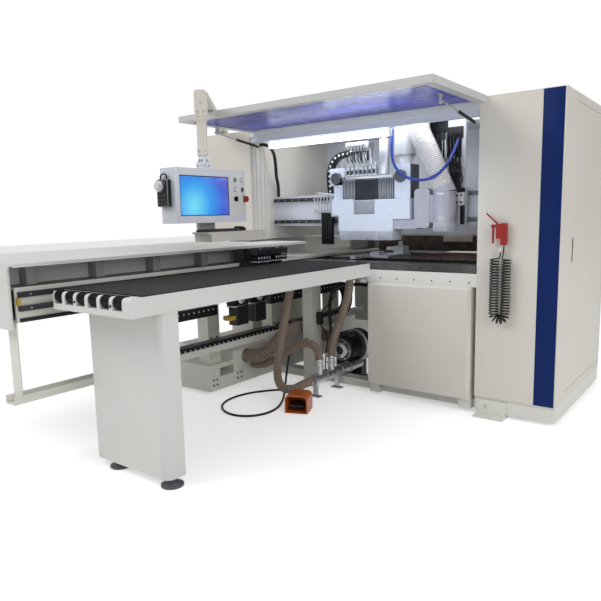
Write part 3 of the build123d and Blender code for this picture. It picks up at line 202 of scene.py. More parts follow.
WHITE = paint("warm_white_paint", (0.74, 0.70, 0.625))
# Painted shade: the lid's white, darkened below the machine's white so its key-lit front edge stays dim
LID_SHADED_WHITE = paint("lid_white_painted_shade", (0.62, 0.62, 0.60))
# Painted light: the head's white made brighter and bluer, the cool lamp light of the booth painted into it
HEAD_COOL_LIT_WHITE = paint("head_white_painted_cool_light", (0.80, 0.85, 0.93))
COVER_WHITE = paint("cover_white_paint", (0.76, 0.76, 0.72))
# Painted light: the base's white, lighter than the machine's white to lift the shade on the base and the
# parts under the bed
BASE_LIT_WHITE = paint("base_grey_paint", (0.80, 0.785, 0.72))
# Painted shade: dark taupe for a thin sheet on the beam's top face, standing for the shadow under the cover
BEAM_TOP_SHADE = paint("painted_shade_taupe", (0.16, 0.15, 0.14), 0.5, 0.08)
LINER_GREY = paint("liner_grey_paint", (0.74, 0.72, 0.73), 0.5, 0.05)
# Painted shade: the white cover's ribs darkened to grey for the shade on them
RIB_SHADE_GREY = paint("rib_painted_shade_grey", (0.40, 0.38, 0.385), 0.5, 0.06)
# Painted light: white with the bluish tint of the booth's cool lamps painted into it
COOL_LIT_WHITE = paint("white_painted_cool_light", (0.72, 0.74, 0.80))
DARK_PAINT = paint("dark_machine_paint", (0.022, 0.023, 0.026), 0.38, 0.15)
GREY_PAINT = paint("graphite_paint", (0.10, 0.105, 0.12), 0.4, 0.1)
ACCENT_BLUE = paint("accent_blue_paint", (0.003, 0.020, 0.12), 0.5, 0.06, 0.15)
ORANGE = paint("orange_hammered_paint", (0.55, 0.13, 0.02), 0.36, 0.1)
STEEL = metal("ground_steel", (0.55, 0.55, 0.56))
FIN_METAL = metal("finned_metal", (0.36, 0.37, 0.39), 0.4, (1, 30, 30), 0.06)
RAIL_STEEL = metal("rail_steel", (0.09, 0.09, 0.10), 0.3, (40, 1, 40))
GALVANISED = metal("galvanised_sheet", (0.52, 0.53, 0.55), 0.42, (6, 6, 6), 0.22)
ALUMINIUM = metal("machined_aluminium", (0.66, 0.67, 0.70), 0.36, (1, 30, 30), 0.06)
BED_METAL = metal("bed_plate_metal", (0.15, 0.155, 0.16), 0.22, (1, 60, 60), 0.2)
RUBBER = plastic("table_mat_rubber", (0.017, 0.015, 0.015), 0.6, 0.2, 260, 0.35)
BLACK = plastic("black_plastic", (0.010, 0.010, 0.012), 0.38, 0.2, 700, 0.3)
CHARCOAL = plastic("charcoal_plastic", (0.045, 0.046, 0.055), 0.45, 0.15)
PALE_PLASTIC = plastic("pale_plastic", (0.72, 0.73, 0.74), 0.35, 0.04)
LILAC_GREY = plastic("lilac_grey_plastic", (0.50, 0.50, 0.56), 0.38, 0.05)
RED = plastic("red_plastic", (0.34, 0.012, 0.009), 0.3, 0.08)
GREEN = plastic("green_plastic", (0.02, 0.30, 0.12), 0.3, 0.08)
YELLOW = plastic("bumper_yellow", (0.52, 0.34, 0.03), 0.5, 0.12)
BROWN = plastic("phenolic_brown", (0.20, 0.05, 0.03), 0.5, 0.25, 200)
ROLLER_BLACK = plastic("roller_black", (0.005, 0.005, 0.006), 0.5, 0.2, 700, 0.1)
CREAM = plastic("cream_plastic", (0.70, 0.62, 0.50), 0.45, 0.06)
CURTAIN = plastic("curtain_brown", (0.10, 0.065, 0.055), 0.45, 0.35, 200)
# Ribbed hoses with painted highlights on their ribs and painted shade between them
AMBER = hose_skin("amber_hose", (0.36, 0.275, 0.215), 0.15)
CREAM_HOSE = hose_skin("cream_hose", (0.88, 0.83, 0.79), 0.05, 0.6)
BLUE_HOSE = plastic("blue_air_hose", (0.02, 0.055, 0.34), 0.32, 0.12)
BRISTLE = plastic("pale_bristle", (0.62, 0.64, 0.67), 0.5, 0.1)
PALE_METAL = metal("pale_cast_metal", (0.72, 0.73, 0.75), 0.4, (6, 6, 6), 0.06)
SMOKED = plastic("smoked_panel", (0.36, 0.37, 0.40), 0.25, 0.06)
FILM = film_skin()
SCREEN = screen_picture()
LAMP = lamp_glow()

# Which nodes wear which finish
FINISH = (
    (BASE_LIT_WHITE, "base_frame clamp_beam chain_tray"),
    (GREY_PAINT, "levelling_feet drill_motors"),
    (COVER_WHITE, "table_pedestals infeed_table_frame outfeed_table_frame clamp_covers"),
    (RUBBER, "table_mats"),
    (ROLLER_BLACK, "infeed_end_rollers"),
    (RAIL_STEEL, "linear_rails clamp_jaw_near clamp_jaw_far"),
    (BLACK, "drag_chains clamp_servo_near clamp_servo_far strut_cylinders mode_selector foot_pedal"),
    (DARK_PAINT, "clamp_carriage_near clamp_carriage_far ring_blower"),
    (WHITE, "right_cabinet cabinet_door left_cabinet lower_covers control_boom keyboard_tray"),
    (COOL_LIT_WHITE, "front_header rear_wall gantry_beam head_carriage control_box"),
    (LID_SHADED_WHITE, "lid_panel"),
    (FILM, "lid_liner"),
    (STEEL, "strut_rods router_tool"),
    (ALUMINIUM, "drill_block"),
    (HEAD_COOL_LIT_WHITE, "head_cover"),
    (PALE_METAL, "head_valves panel_pusher"),
    (PALE_PLASTIC, "dust_chute push_button_a1 push_button_b2 handwheel"),
    (LILAC_GREY, "router_unit"),
    (BED_METAL, "bed_plates"),
    (GALVANISED, "suction_manifold"),
    (GREEN, "push_button_a2"),
    (CHARCOAL, "push_button_b1"),
    (RED, "emergency_stop blow_gun_body gun_trigger"),
    (ORANGE, "foot_switch_guard"),
)


def dress_nodes():
    for material, names in FINISH:
        for name in names.split():
            mesh = NODES[name].data
            mesh.materials.clear()
            mesh.materials.append(material)


# Sheet metal and castings get a small rounding along their edges
SOFT_EDGES = (
    (3, "right_cabinet lid_panel dust_chute"),
    (2, "cabinet_door front_header lower_covers clamp_covers control_box keyboard_tray head_cover "
        "table_pedestals outfeed_table_frame control_boom gantry_beam"),
)
WELD_DISTANCE, SHARP_FROM = 0.00002, math.radians(50)


def round_edges():
    for width, names in SOFT_EDGES:
        for name in names.split():
            weld = NODES[name].modifiers.new("weld", "WELD")
            weld.merge_threshold = WELD_DISTANCE
            bevel = NODES[name].modifiers.new("edge", "BEVEL")
            bevel.width = width * MM
            bevel.segments = 2
            bevel.limit_method = "ANGLE"
            bevel.angle_limit = SHARP_FROM
            bevel.use_clamp_overlap = True
            bevel.harden_normals = True


# Mesh pieces, drawn in millimetres
class Piece:
    """Collects closed forms in one mesh."""

    def __init__(self):
        self.mesh = bmesh.new()

    def block(self, x, y, z, edge=1.5, segments=2):
        made = bmesh.ops.create_cube(self.mesh, size=1)["verts"]
        size = Vector((x[1] - x[0], y[1] - y[0], z[1] - z[0]))
        middle = Vector((x[1] + x[0], y[1] + y[0], z[1] + z[0])) / 2
        for vert in made:
            vert.co = Vector(a * b for a, b in zip(vert.co, size)) + middle
        if edge:
            self.soften(made, min(edge, min(size) * 0.45), segments)
        return self

    def row(self, count, pitch, x, y, z, edge=2):
        """Equal blocks side by side, a pitch apart in x."""
        for i in range(count):
            self.block([end + pitch * i for end in x], y, z, edge)
        return self

    def soften(self, verts, width, segments=2):
        edges = list(dict.fromkeys(edge for vert in verts for edge in vert.link_edges))
        bmesh.ops.bevel(self.mesh, geom=edges, offset=width, segments=segments, affect="EDGES", profile=0.5)

    def lathe(self, start, axis, outline, sides=28):
        """Turned form: outline is (distance along the axis, radius) from one end to the other."""
        axis = Vector(axis).normalized()
        across = axis.orthogonal().normalized()
        return self.skin([
            self.ring(Vector(start) + axis * along, axis, across, radius, sides) for along, radius in outline
        ])

    def ring(self, middle, axis, across, radius, sides):
        other = axis.cross(across)
        turns = [2 * math.pi * i / sides for i in range(sides)]
        spokes = [across * math.cos(turn) + other * math.sin(turn) for turn in turns]
        return [self.mesh.verts.new(middle + spoke * radius) for spoke in spokes]

    def skin(self, rings):
        sides = len(rings[0])
        for low, high in zip(rings, rings[1:]):
            for i in range(sides):
                j = (i + 1) % sides
                self.mesh.faces.new((low[i], low[j], high[j], high[i]))
        self.mesh.faces.new(rings[0][::-1])
        self.mesh.faces.new(rings[-1])
        return self

    def tube(self, points, radius, sides=10):
        """Round bar along points, closed at both ends."""
        points = [Vector(p) for p in points]
        rings, across = [], None
        for i, spot in enumerate(points):
            ahead = (points[min(i + 1, len(points) - 1)] - points[max(i - 1, 0)]).normalized()
            across = ahead.orthogonal() if across is None else across - ahead * across.dot(ahead)
            across.normalize()
            size = radius(i) if callable(radius) else radius
            rings.append(self.ring(spot, ahead, across, size, sides))
        return self.skin(rings)

    def bolt(self, place, axis, radius, height):
        """Socket-head screw with a bevelled rim and a sunk hexagon."""
        inner = radius * 0.5
        rim = [(-1, radius), (height * 0.8, radius), (height, radius * 0.85), (height, inner)]
        self.lathe(place, axis, rim, 18)
        socket = Vector(place) + Vector(axis).normalized() * (height - 0.02)
        return self.lathe(socket, axis, [(0, inner), (-height * 0.4, inner)], 6)

    def bolts(self, xs, ys, zs, axis, radius, height):
        """Screws at every crossing of the given places."""
        for place in product(xs, ys, zs):
            self.bolt(place, axis, radius, height)
        return self

    def line(self, route, radius, sides=8, steps=8):
        """Thin round line along the smooth line of a route."""
        return self.tube(points_on(smooth_line("route", route, steps)), radius, sides)

    def done(self, name, material, body, slot=None, stands_for=None, sharp=35):
        bmesh.ops.recalc_face_normals(self.mesh, faces=self.mesh.faces)
        bmesh.ops.scale(self.mesh, vec=(MM, MM, MM), verts=self.mesh.verts)
        data = bpy.data.meshes.new(name)
        self.mesh.to_mesh(data)
        self.mesh.free()
        data.materials.append(material)
        data.polygons.foreach_set("use_smooth", [True] * len(data.polygons))
        data.set_sharp_from_angle(angle=math.radians(sharp))
        piece = show(name, data)
        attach(piece, body)
        if stands_for:
            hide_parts(stands_for)
        return piece


# Cords and hoses
def smooth_line(name, places, steps=20):
    """Smooth line of a route, whose places are the control points."""
    data = bpy.data.curves.new(name, "CURVE")
    data.dimensions = "3D"
    data.resolution_u = steps
    spline = data.splines.new("NURBS")
    spline.points.add(len(places) - 1)
    for point, place in zip(spline.points, places):
        point.co = (*(Vector(place) * MM), 1)
    spline.order_u = 3
    spline.use_endpoint_u = True
    return data


def points_on(line):
    """Points that the smooth line passes through, in millimetres."""
    holder = show("route", line)
    mesh = bpy.data.meshes.new_from_object(holder)
    points = [vert.co / MM for vert in mesh.vertices]
    bpy.data.objects.remove(holder)
    bpy.data.meshes.remove(mesh)
    return points


def travelled(points):
    """Distance along the points at each of them."""
    distance = [0.0]
    for here, after in zip(points, points[1:]):
        distance.append(distance[-1] + (after - here).length)
    return distance


def spots_at(points, shares):
    """Places at the given shares of the whole length, in rising order."""
    distance = travelled(points)
    spots, i = [], 0
    for share in shares:
        goal = share * distance[-1]
        while i < len(points) - 2 and distance[i + 1] < goal:
            i += 1
        part = (goal - distance[i]) / (distance[i + 1] - distance[i])
        spots.append(points[i].lerp(points[i + 1], part))
    return spots


HOSE_SIDES = 32
RIB_SHAPE = ((0.0, 0.0), (0.16, 0.08), (0.30, 0.55), (0.44, 0.95), (0.58, 1.0), (0.72, 0.9), (0.86, 0.45))


def ribbed_hose(name, places, radius, ribs, rib, material, body, node):
    points = points_on(smooth_line(name, places))
    stations = [((i + part) / ribs, rise) for i in range(ribs) for part, rise in RIB_SHAPE] + [(1.0, 0.0)]
    spots = spots_at(points, [share for share, rise in stations])
    rises = [rise for share, rise in stations]
    hose = Piece().tube(spots, lambda i: radius - rib + rib * rises[i], HOSE_SIDES)
    hose = hose.done(name, material, body, sharp=60)
    crest = hose.data.attributes.new("crest", "FLOAT", "POINT")
    crest.data.foreach_set("value", [rise for rise in rises for side in range(HOSE_SIDES)])
    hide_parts(node)
    return hose, points


def upright(y, places):
    """Places of a route that stays at one depth."""
    return [(x, y, z) for x, z in places]


LOOP_HOSE = [
    (-168, -1010, 946), (-178, -1010, 880), (-204, -1010, 763), (-254, -1010, 574), (-302, -1010, 385),
    (-330, -1012, 223), (-302, -1048, 134), (-226, -1095, 100), (-150, -1124, 102), (-96, -1094, 114),
    (-80, -1030, 130), (-80, -930, 130),
]
ARCH_HOSE = upright(-830, [
    (-80, 250), (-80, 312), (-126, 372), (-214, 380), (-320, 330), (-440, 246), (-552, 184), (-660, 150),
    (-745, 150),
])
RISER_HOSE = upright(-677, [
    (-80, 250), (-80, 316), (-48, 420), (6, 540), (62, 680), (90, 788), (92, 868), (92, 946),
])
TRUNK_HOSE = [
    (-745, -905, 234), (-630, -905, 234), (-545, -880, 275), (-495, -800, 355), (-478, -690, 415),
    (-476, -570, 430), (-478, -460, 405), (-476, -350, 350), (-450, -225, 300), (-320, -225, 300),
]
CONDUIT = [
    (-889, -484, 1899), (-844, -484, 1899), (-804, -475, 1880), (-774, -451, 1834), (-782, -425, 1770),
    (-806, -388, 1705), (-862, -318, 1650), (-920, -222, 1578), (-934, -203, 1532), (-934, -203, 1480),
]
HOOD_HOSE = [
    (680, -401, 1487), (616, -404, 1645), (545, -407, 1790), (506, -408, 1868), (500, -408, 1920),
    (500, -408, 1985),
]
AIR_HOSE = [
    (312, -446, 1985), (312, -446, 1912), (306, -450, 1766), (337, -472, 1652), (429, -496, 1566),
    (558, -500, 1534), (664, -498, 1553), (734, -470, 1626), (755, -400, 1724), (751, -345, 1780),
    (745, -298, 1822),
]
CABLE = [
    (-350, -614, 352), (-350, -689, 352), (-375, -747, 310), (-417, -762, 238), (-424, -775, 162),
    (-400, -826, 86), (-338, -918, 36), (-268, -1020, 10), (-198, -1128, 8), (-140, -1240, 8),
    (-116, -1365, 8), (-158, -1480, 8), (-262, -1542, 8), (-385, -1524, 8), (-488, -1450, 8),
    (-548, -1340, 8), (-560, -1215, 8), (-532, -1094, 8), (-462, -982, 8), (-378, -892, 8),
    (-268, -868, 8), (-172, -930, 8), (-106.4, -1036.5, 18), (-62.4, -1142.6, 18),
]

WIRING = upright(-530, [
    (223, 798), (130, 798), (20, 797), (-75, 787), (-140, 757), (-178, 696), (-190, 600), (-184, 490),
    (-176, 370), (-172, 230), (-172, 84),
])
WIRE_ABOVE = upright(-552, [
    (-100, 838), (-100, 775), (-126, 702), (-172, 640), (-222, 600), (-256, 560),
])
WIRE_BELOW = upright(-552, [
    (-262, 472), (-244, 440), (-214, 408), (-199, 366), (-202, 306), (-214, 240), (-220, 170), (-220, 84),
])


def make_hoses():
    for name, places, radius, ribs, rib, material in (
        ("loop_hose", LOOP_HOSE, 31, 92, 4, AMBER), ("arch_hose", ARCH_HOSE, 31, 60, 4, AMBER),
        ("riser_hose", RISER_HOSE, 31, 56, 4, AMBER), ("trunk_hose", TRUNK_HOSE, 54, 62, 6, AMBER),
        ("wiring_conduit", CONDUIT, 14, 44, 2, BLACK),
    ):
        hose, points = ribbed_hose(name, places, radius, ribs, rib, material, "base", "suction_hoses")
    ribbed_hose("head_suction_hose", HOOD_HOSE, 74, 40, 4, CREAM_HOSE, "boring_head", "head_hoses")


def plain_cord(name, places, radius, material, body, node, steps=20):
    """Smooth round cord: the curve itself, given thickness."""
    line = smooth_line(name, places, steps)
    points = points_on(line)
    line.bevel_depth = radius * MM
    line.bevel_resolution = 4
    line.use_fill_caps = True
    line.materials.append(material)
    cord = show(name, line)
    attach(cord, body)
    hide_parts(node)
    return cord, points


def make_cables():
    connector = Piece().block((-290, -244), (-570, -534), (468, 566), 6, 3)
    for z in (486, 500, 534, 548):
        connector.block((-291, -243), (-571, -533), (z - 3, z + 3), 1)
    connector = connector.done("wire_connector", BLACK, "base", "black_plastic", "suction_hoses")
    for name, places, radius, material, body, node, far_end, lay in (
        ("foot_cable", CABLE, 8, BLACK, "base", "foot_switch_cable", "object", "loose"),
        ("air_hose", AIR_HOSE, 10, BLUE_HOSE, "boring_head", "head_hoses", "object", "hanging"),
        ("wiring_hose", WIRING, 13, BLACK, "base", "suction_hoses", "object", "hanging"),
        ("wire_above", WIRE_ABOVE, 5, BLACK, "base", "suction_hoses", "connector", "hanging"),
        ("wire_below", WIRE_BELOW, 5, BLACK, "base", "suction_hoses", "object", "hanging"),
    ):
        cord, points = plain_cord(name, places, radius, material, body, node)


# Curly hose of the blow gun: its axis hangs in a hairpin, its turns are points of its own line
COIL_AXIS = upright(-654, [
    (1136, 1030), (1136, 920), (1136, 800), (1136, 700), (1140, 660), (1172, 646), (1204, 660),
    (1208, 700), (1208, 800), (1208, 920), (1208, 1030),
])
COIL_TURNS, COIL_RADIUS, POINTS_PER_TURN = 46, 26, 14


def make_curly_hose():
    axis = points_on(smooth_line("curly_axis", COIL_AXIS))
    count = COIL_TURNS * POINTS_PER_TURN
    spots = spots_at(axis, [i / count for i in range(count + 1)])
    turns = []
    for i, spot in enumerate(spots):
        ahead = (spots[min(i + 1, count)] - spots[max(i - 1, 0)]).normalized()
        side = Vector(REAR)
        out = side.cross(ahead).normalized()
        swing = 2 * math.pi * i / POINTS_PER_TURN
        turns.append(spot + (-out * math.cos(swing) + side * math.sin(swing)) * COIL_RADIUS)
    ends_in = [Vector((1166, -640, 1069)), Vector((1166, -640, 1050)), Vector((1164, -646, 1036))]
    ends_out = [Vector((1184, -648, 1050)), Vector((1189, -645, 1080)), Vector((1189, -645, 1112))]
    hose, points = plain_cord("curly_hose", ends_in + turns + ends_out, 4, BLACK, "base", "blow_gun_hose", 2)


# Bristle skirts of the boring head and the router hood
SKIRT_X, SKIRT_Y, SKIRT_TOP, SKIRT_LOW = (-139, 313), (-449, -310), 1186, 1125
HOOD, HOOD_TOP, HOOD_LOW, HOOD_RADIUS = (690, -400), 1244, 1190, 73
SKIRT_TUFTS, HOOD_TUFTS = 640, 260


def bristles(piece, place, top, bottom, spread=2.5):
    tip = Vector((random.uniform(-spread, spread), random.uniform(-spread, spread), bottom - top))
    middle = tip * 0.5 + Vector((random.uniform(-1, 1), random.uniform(-1, 1), 0))
    root = Vector((*place, top))
    piece.tube([root + Vector((0, 0, 3)), root + middle, root + tip], lambda i: (1.3, 1.2, 0.9)[i], 5)


def make_skirts():
    head = Piece()
    strip = (SKIRT_TOP, SKIRT_TOP + 6)
    for y in SKIRT_Y:
        head.block((SKIRT_X[0] - 4, SKIRT_X[1] + 4), (y - 4, y + 4), strip, 1)
    for x in SKIRT_X:
        head.block((x - 4, x + 4), (SKIRT_Y[0] + 4, SKIRT_Y[1] - 4), strip, 1)
    (left, right), (front, back) = SKIRT_X, SKIRT_Y
    corners = [(left, front), (right, front), (right, back), (left, back), (left, front)]
    shares = [i / SKIRT_TUFTS for i in range(SKIRT_TUFTS)]
    for spot in spots_at([Vector((x, y, 0)) for x, y in corners], shares):
        bristles(head, spot.xy, SKIRT_TOP, SKIRT_LOW)
    head.done("head_bristles", BRISTLE, "boring_head", "white_plastic", "bristle_skirts")
    hood = Piece().lathe((*HOOD, HOOD_TOP), UP, [(0, 77), (6, 77)], 48)
    for i in range(HOOD_TUFTS):
        turn = 2 * math.pi * i / HOOD_TUFTS
        place = (HOOD[0] + HOOD_RADIUS * math.cos(turn), HOOD[1] + HOOD_RADIUS * math.sin(turn))
        bristles(hood, place, HOOD_TOP, HOOD_LOW)
    hood.done("hood_bristles", BRISTLE, "boring_head", "white_plastic", "bristle_skirts")


# Control console: the screen lies in a recess of the box, inside a thin bezel
RECESS, BUTTON_FACE = -223.9, -218
SCREEN_Y, SCREEN_Z = (-1967, -1577), (1333, 1557)
BEZEL_Y, BEZEL_Z = (-1971.8, -1572.2), (1328.2, 1561.8)


def make_console():
    Piece().block((RECESS, -221), SCREEN_Y, SCREEN_Z, 0.5).done("screen", SCREEN, "console", "black_plastic")
    bezel = Piece()
    for z in ((BEZEL_Z[0], SCREEN_Z[0]), (SCREEN_Z[1], BEZEL_Z[1])):
        bezel.block((RECESS, -220), BEZEL_Y, z, 0.6)
    for y in ((BEZEL_Y[0], SCREEN_Y[0]), (SCREEN_Y[1], BEZEL_Y[1])):
        bezel.block((RECESS, -220), y, SCREEN_Z, 0.6)
    bezel.done("screen_bezel", BLACK, "console", "black_plastic")
    plate = Piece().block((-219.2, -217.8), (-1547, -1425), (1322, 1590), 0.5)
    plate.bolts([-217.8], (-1541, -1431), (1328, 1584), RIGHT, 2.2, 1.6)
    plate.done("button_plate", COVER_WHITE, "console", "white_plastic")
    rims = Piece()
    raised = [(0, 17), (1.5, 17), (3.2, 15.6), (4.6, 13.4), (4.6, 11.5), (1, 11.5)]
    for place in product([BUTTON_FACE], (-1519, -1455), (1488, 1547)):
        rims.lathe(place, RIGHT, raised, 32)
    rims.lathe((BUTTON_FACE, -1437, 1429), RIGHT, [(0, 22), (3, 22), (5, 19), (16, 16), (29, 15)], 32)
    rims.done("button_rims", STEEL, "console", "ground_steel")
    make_pendant()
    make_keyboard()


def make_pendant():
    shell = Piece().block((-355, -259), (-2028.5, -1994.6), (1382, 1538), 9, 3)
    shell.block((-349, -265), (-2030.2, -2027), (1388, 1462), 3)
    handle = upright(-2012, [(-334, 1534), (-336, 1560), (-307, 1572), (-278, 1560), (-280, 1534)])
    shell.line(handle, 4.5, 12, 20)
    shell.done("pendant_shell", BLACK, "console", "black_plastic")
    keys = Piece()
    for low in (1396, 1417, 1438):
        keys.row(3, 26, (-341, -325), (-2033, -2029), (low, low + 12), 2.5)
    keys.lathe((-282, -2027, 1512), FRONT, [(0, 10), (6, 10), (8, 7)], 20)
    keys.done("pendant_keys", CHARCOAL, "console", "black_plastic")
    dial = Piece().lathe((-325, -2028, 1500), FRONT, [(0, 39), (0.9, 39), (0.9, 33)], 40)
    dial.done("pendant_dial", GREY_PAINT, "console", "black_plastic")


def make_keyboard():
    board = Piece().block((-322, -196), (-1770, -1492), (1229, 1240), 4)
    for row in range(5):
        for column in range(11):
            x, y = -308 + 24.5 * row, -1752 + 24.2 * column
            board.block((x - 9.5, x + 9.5), (y - 10, y + 10), (1239, 1246), 2.2, 1)
    board.done("keyboard", CHARCOAL, "console", "black_plastic")
    mouse = Piece()
    x_middle, y_middle, tray = -262, -1442, 1229.3
    half_width, half_length, half_height, sides = 29, 50, 15, 20
    rings = []
    for i in range(9):
        turn = math.pi * i / 8
        size = max(0.05, math.sin(turn)) ** 0.6
        ring = []
        for k in range(sides):
            around = 2 * math.pi * k / sides
            x = x_middle + half_width * size * math.cos(around)
            z = tray + half_height * size * (1 + math.sin(around))
            ring.append(mouse.mesh.verts.new((x, y_middle - half_length * math.cos(turn), z)))
        rings.append(ring)
    mouse.skin(rings)
    mouse.block((-266, -258), (-1482, -1468), (1252, 1259), 3)
    mouse.done("mouse", BLACK, "console", "black_plastic")


# Cabinet trim
def make_cabinet_trim():
    stripe = Piece().block((1384, 1504), (-614.9, -613.8), (126, 2010), 0.3)
    stripe.done("accent_stripe", ACCENT_BLUE, "base", "warm_white_paint")
    pull_y, pull_z, depth = (-356.8, -335.2), (997.2, 1143.8), (1501.2, 1513)
    pull = Piece().block((depth[0], 1504), pull_y, pull_z, 0.5)
    for y in ((pull_y[0], -353.5), (-338.5, pull_y[1])):
        pull.block(depth, y, pull_z, 1)
    for z in ((pull_z[0], 1002), (1139, pull_z[1])):
        pull.block(depth, pull_y, z, 1)
    pull.block((1504, 1511), (-350, -342), (1040, 1100), 2)
    pull.done("door_pull", BLACK, "door", "black_plastic")
    Piece().block((-736, 350), (-556, -530), (1850, 1900), 5).done("work_lamp", LAMP, "base", "white_plastic")
    holder = Piece().block((-742, 356), (-559, -527), (1898, 1903.5), 1.5)
    for x in (-739, 353):
        holder.block((x - 6, x + 6), (-558, -528), (1848, 1903), 2)
    holder.done("work_lamp_holder", ALUMINIUM, "base", "machined_aluminium")
    make_outlet()


def make_outlet():
    """Curtain of overlapping strips across the outlet, on a holding bar, clear of the clamps' path."""
    bar = Piece().block((-950, 1000), (582, 594.2), (1118, 1146), 1)
    bar.bolts(range(-900, 1000, 150), [582], [1132], FRONT, 5, 3)
    bar.done("outlet_bar", PALE_PLASTIC, "base", "white_plastic")
    guide = Piece().block((262, 520), (562, 583), (1066, 1126), 4)
    guide.bolts((285, 391, 497), [562], [1096], FRONT, 6, 4)
    guide.done("outlet_guide", CREAM, "base", "light_grey_plastic")
    curtain = Piece()
    first, pitch, strip = -386, 57.3, 61
    for i in range(24):
        x = first + pitch * i
        y = 586 + 3 * (i % 2)
        curtain.block((x, x + strip), (y - 1.2, y + 1.2), (987, 1124), 0.8)
    curtain.done("outlet_curtain", CURTAIN, "base", "black_rubber")


# Rails and cable chains
def make_rail_screws():
    screws = Piece().bolts(range(-900, 951, 74), [-246], (1265, 1446), FRONT, 5.2, 6.4)
    screws.bolts([-541], range(-2730, 2731, 130), (878, 949), RIGHT, 5.2, 6.4)
    screws.done("rail_screws", ALUMINIUM, "base", "machined_aluminium")


def make_chain_rivets():
    rivets = Piece()
    pitch = 46
    for bend, away, upper, lower in ((-1900, -1, -1330, -690), (300, 1, -740, -600)):
        for z, end in ((409, lower), (665, upper)):
            for i in range(int(abs(end - bend) / pitch)):
                y = bend - away * (i + 0.5) * pitch
                rivets.lathe((-606.3, y, z + 10), RIGHT, [(0, 5.5), (1.6, 5.5), (2.6, 4), (2.8, 2)], 14)
    rivets.done("chain_rivets", PALE_PLASTIC, "base", "white_plastic")


# Boring head
def make_motors():
    back, low, high, fins = -308, 1421, 1568, 9
    silver = Piece()
    for left, right in ((-115, 0), (197, 319)):
        silver.block((left, right), (-425, back), (low, 1570), 1.5)
        pitch = (right - left) / fins
        fin = (left + pitch * 0.22, left + pitch * 0.78)
        silver.row(fins, pitch, fin, (-445, -424), (low + 2, high), 1)
        silver.block((left - 1, right + 1), (-444, back), (high, 1575.5), 1.5)
    silver.done("finned_cases", FIN_METAL, "boring_head", "machined_aluminium", "drill_motors")
    dark = Piece().block((1, 196), (-441, back), (low, high), 2)
    dark.row(22, 8.9, (2.8, 7.2), (-446, -440), (low + 3, high - 3), 0.8)
    dark.done("centre_motor", CHARCOAL, "boring_head", "dark_machine_paint", "drill_motors")


def make_drives():
    left_face, right_face, top, top_bolts = -425, -438, 1666, 1652
    drives = Piece().block((-205, -118), (left_face, -320), (1430, 1600), 3)
    drives.block((-240, -118), (left_face, -320), (1535, top), 4)
    drives.block((325, 450), (right_face, -304), (1422, top), 4)
    drives.block((330, 386), (-446, -436), (1426, 1530), 2)
    drives.bolts((-225, -132), [left_face], [top_bolts], FRONT, 5, 4)
    drives.bolts((338, 438), [right_face], [top_bolts], FRONT, 5, 4)
    drives.bolt((438, right_face, 1436), FRONT, 5, 4)
    drives.done("spindle_drives", HEAD_COOL_LIT_WHITE, "boring_head", "warm_white_paint", "drill_motors")
    caps = Piece()
    for x, y, z in ((-174, left_face, 1589), (379, right_face, 1580)):
        caps.lathe((x, y, z), FRONT, [(0, 46), (24, 46), (30, 41), (30, 30), (27, 28), (27, 8)], 8)
    caps.block((450.2, 454.5), (-436, -306), (1424, 1660), 1)
    caps.done("octagonal_caps", GREY_PAINT, "boring_head", "dark_machine_paint", "drill_motors")


def make_head_trim():
    window = Piece().block((-8, 169), (-452.6, -450.6), (1316, 1417), 0.6)
    window.done("dust_window", SMOKED, "boring_head", "white_plastic")
    screws = Piece()
    for xs, zs in (((-200, -20), (1322, 1422)), ((181, 444), (1288, 1412)), ((-135, 309), (1204, 1302)),
                   ([80], [1302])):
        screws.bolts(xs, [-455], zs, FRONT, 4, 3)
    screws.done("cover_screws", STEEL, "boring_head", "ground_steel")
    rings = Piece()
    for place, z, radius in ((HOOD, 1438, 78.4), (HOOD, 1272, 77.6), ((350, -325), 1724, 77)):
        rings.lathe((*place, z), UP, [(0, radius - 2), (0, radius), (10, radius), (10, radius - 2)], 48)
    rings.done("hood_rings", STEEL, "boring_head", "ground_steel")


def make_valves():
    valves, pitch, deck, cylinder = 7, 38, 1603, (207, -372)
    body = Piece().block((-110, 300), (-420, -320), (1576, deck + 1), 3)
    body.row(valves, pitch, (-99, -69), (-412, -372), (deck, 1650))
    body.row(valves, pitch, (-96, -72), (-408, -376), (1650, 1676), 3)
    for i in range(valves):
        body.lathe((-84 + pitch * i, -392, 1674), UP, [(0, 9), (16, 9), (20, 6)], 16)
    body.block((-95, 90), (-366, -326), (deck, 1802), 3)
    body.block((-100, 96), (-414, -330), (1800, 1850), 3)
    body.row(9, 21, (-94, -82), (-420, -414), (1806, 1844), 1.5)
    body.lathe((*cylinder, deck), UP, [(0, 36), (8, 38), (250, 38), (258, 34), (258, 20), (277, 20)], 32)
    body.done("valve_terminal", PALE_METAL, "boring_head", "machined_aluminium", "head_valves")
    coils = Piece().row(valves, pitch, (-94, -74), (-417, -411), (1612, 1642))
    coils.row(6, 29, (-88, -70), (-372, -365), (1712, 1786))
    coils.lathe((*cylinder, 1852), UP, [(0, 26), (16, 26)], 24)
    coils.done("valve_coils", CHARCOAL, "boring_head", "black_plastic")
    lines = Piece()
    for i in range(10):
        x = -92 + 24 * i
        rise = 34 + 16 * ((i * 5) % 4)
        lean = -30 + 12 * ((i * 3) % 5)
        lines.line([(x, -404, 1676), (x + lean * 0.3, -412, 1676 + rise), (x + lean, -420, 1690 + rise),
                    (x + lean * 1.6, -410, 1650 + rise), (x + lean * 1.9, -396, 1606)], 3.4)
    lines.done("air_lines", PALE_PLASTIC, "boring_head", "white_plastic")
    dark = Piece()
    for i in range(6):
        x = -70 + 26 * i
        dark.line([(x, -420, 1825), (x - 6, -436, 1818), (x - 14 + 5 * i, -436, 1760),
                   (x + 4 * i, -420, 1700), (x + 3 * i, -398, 1690)], 3.0)
    dark.done("signal_lines", BLACK, "boring_head", "black_plastic")


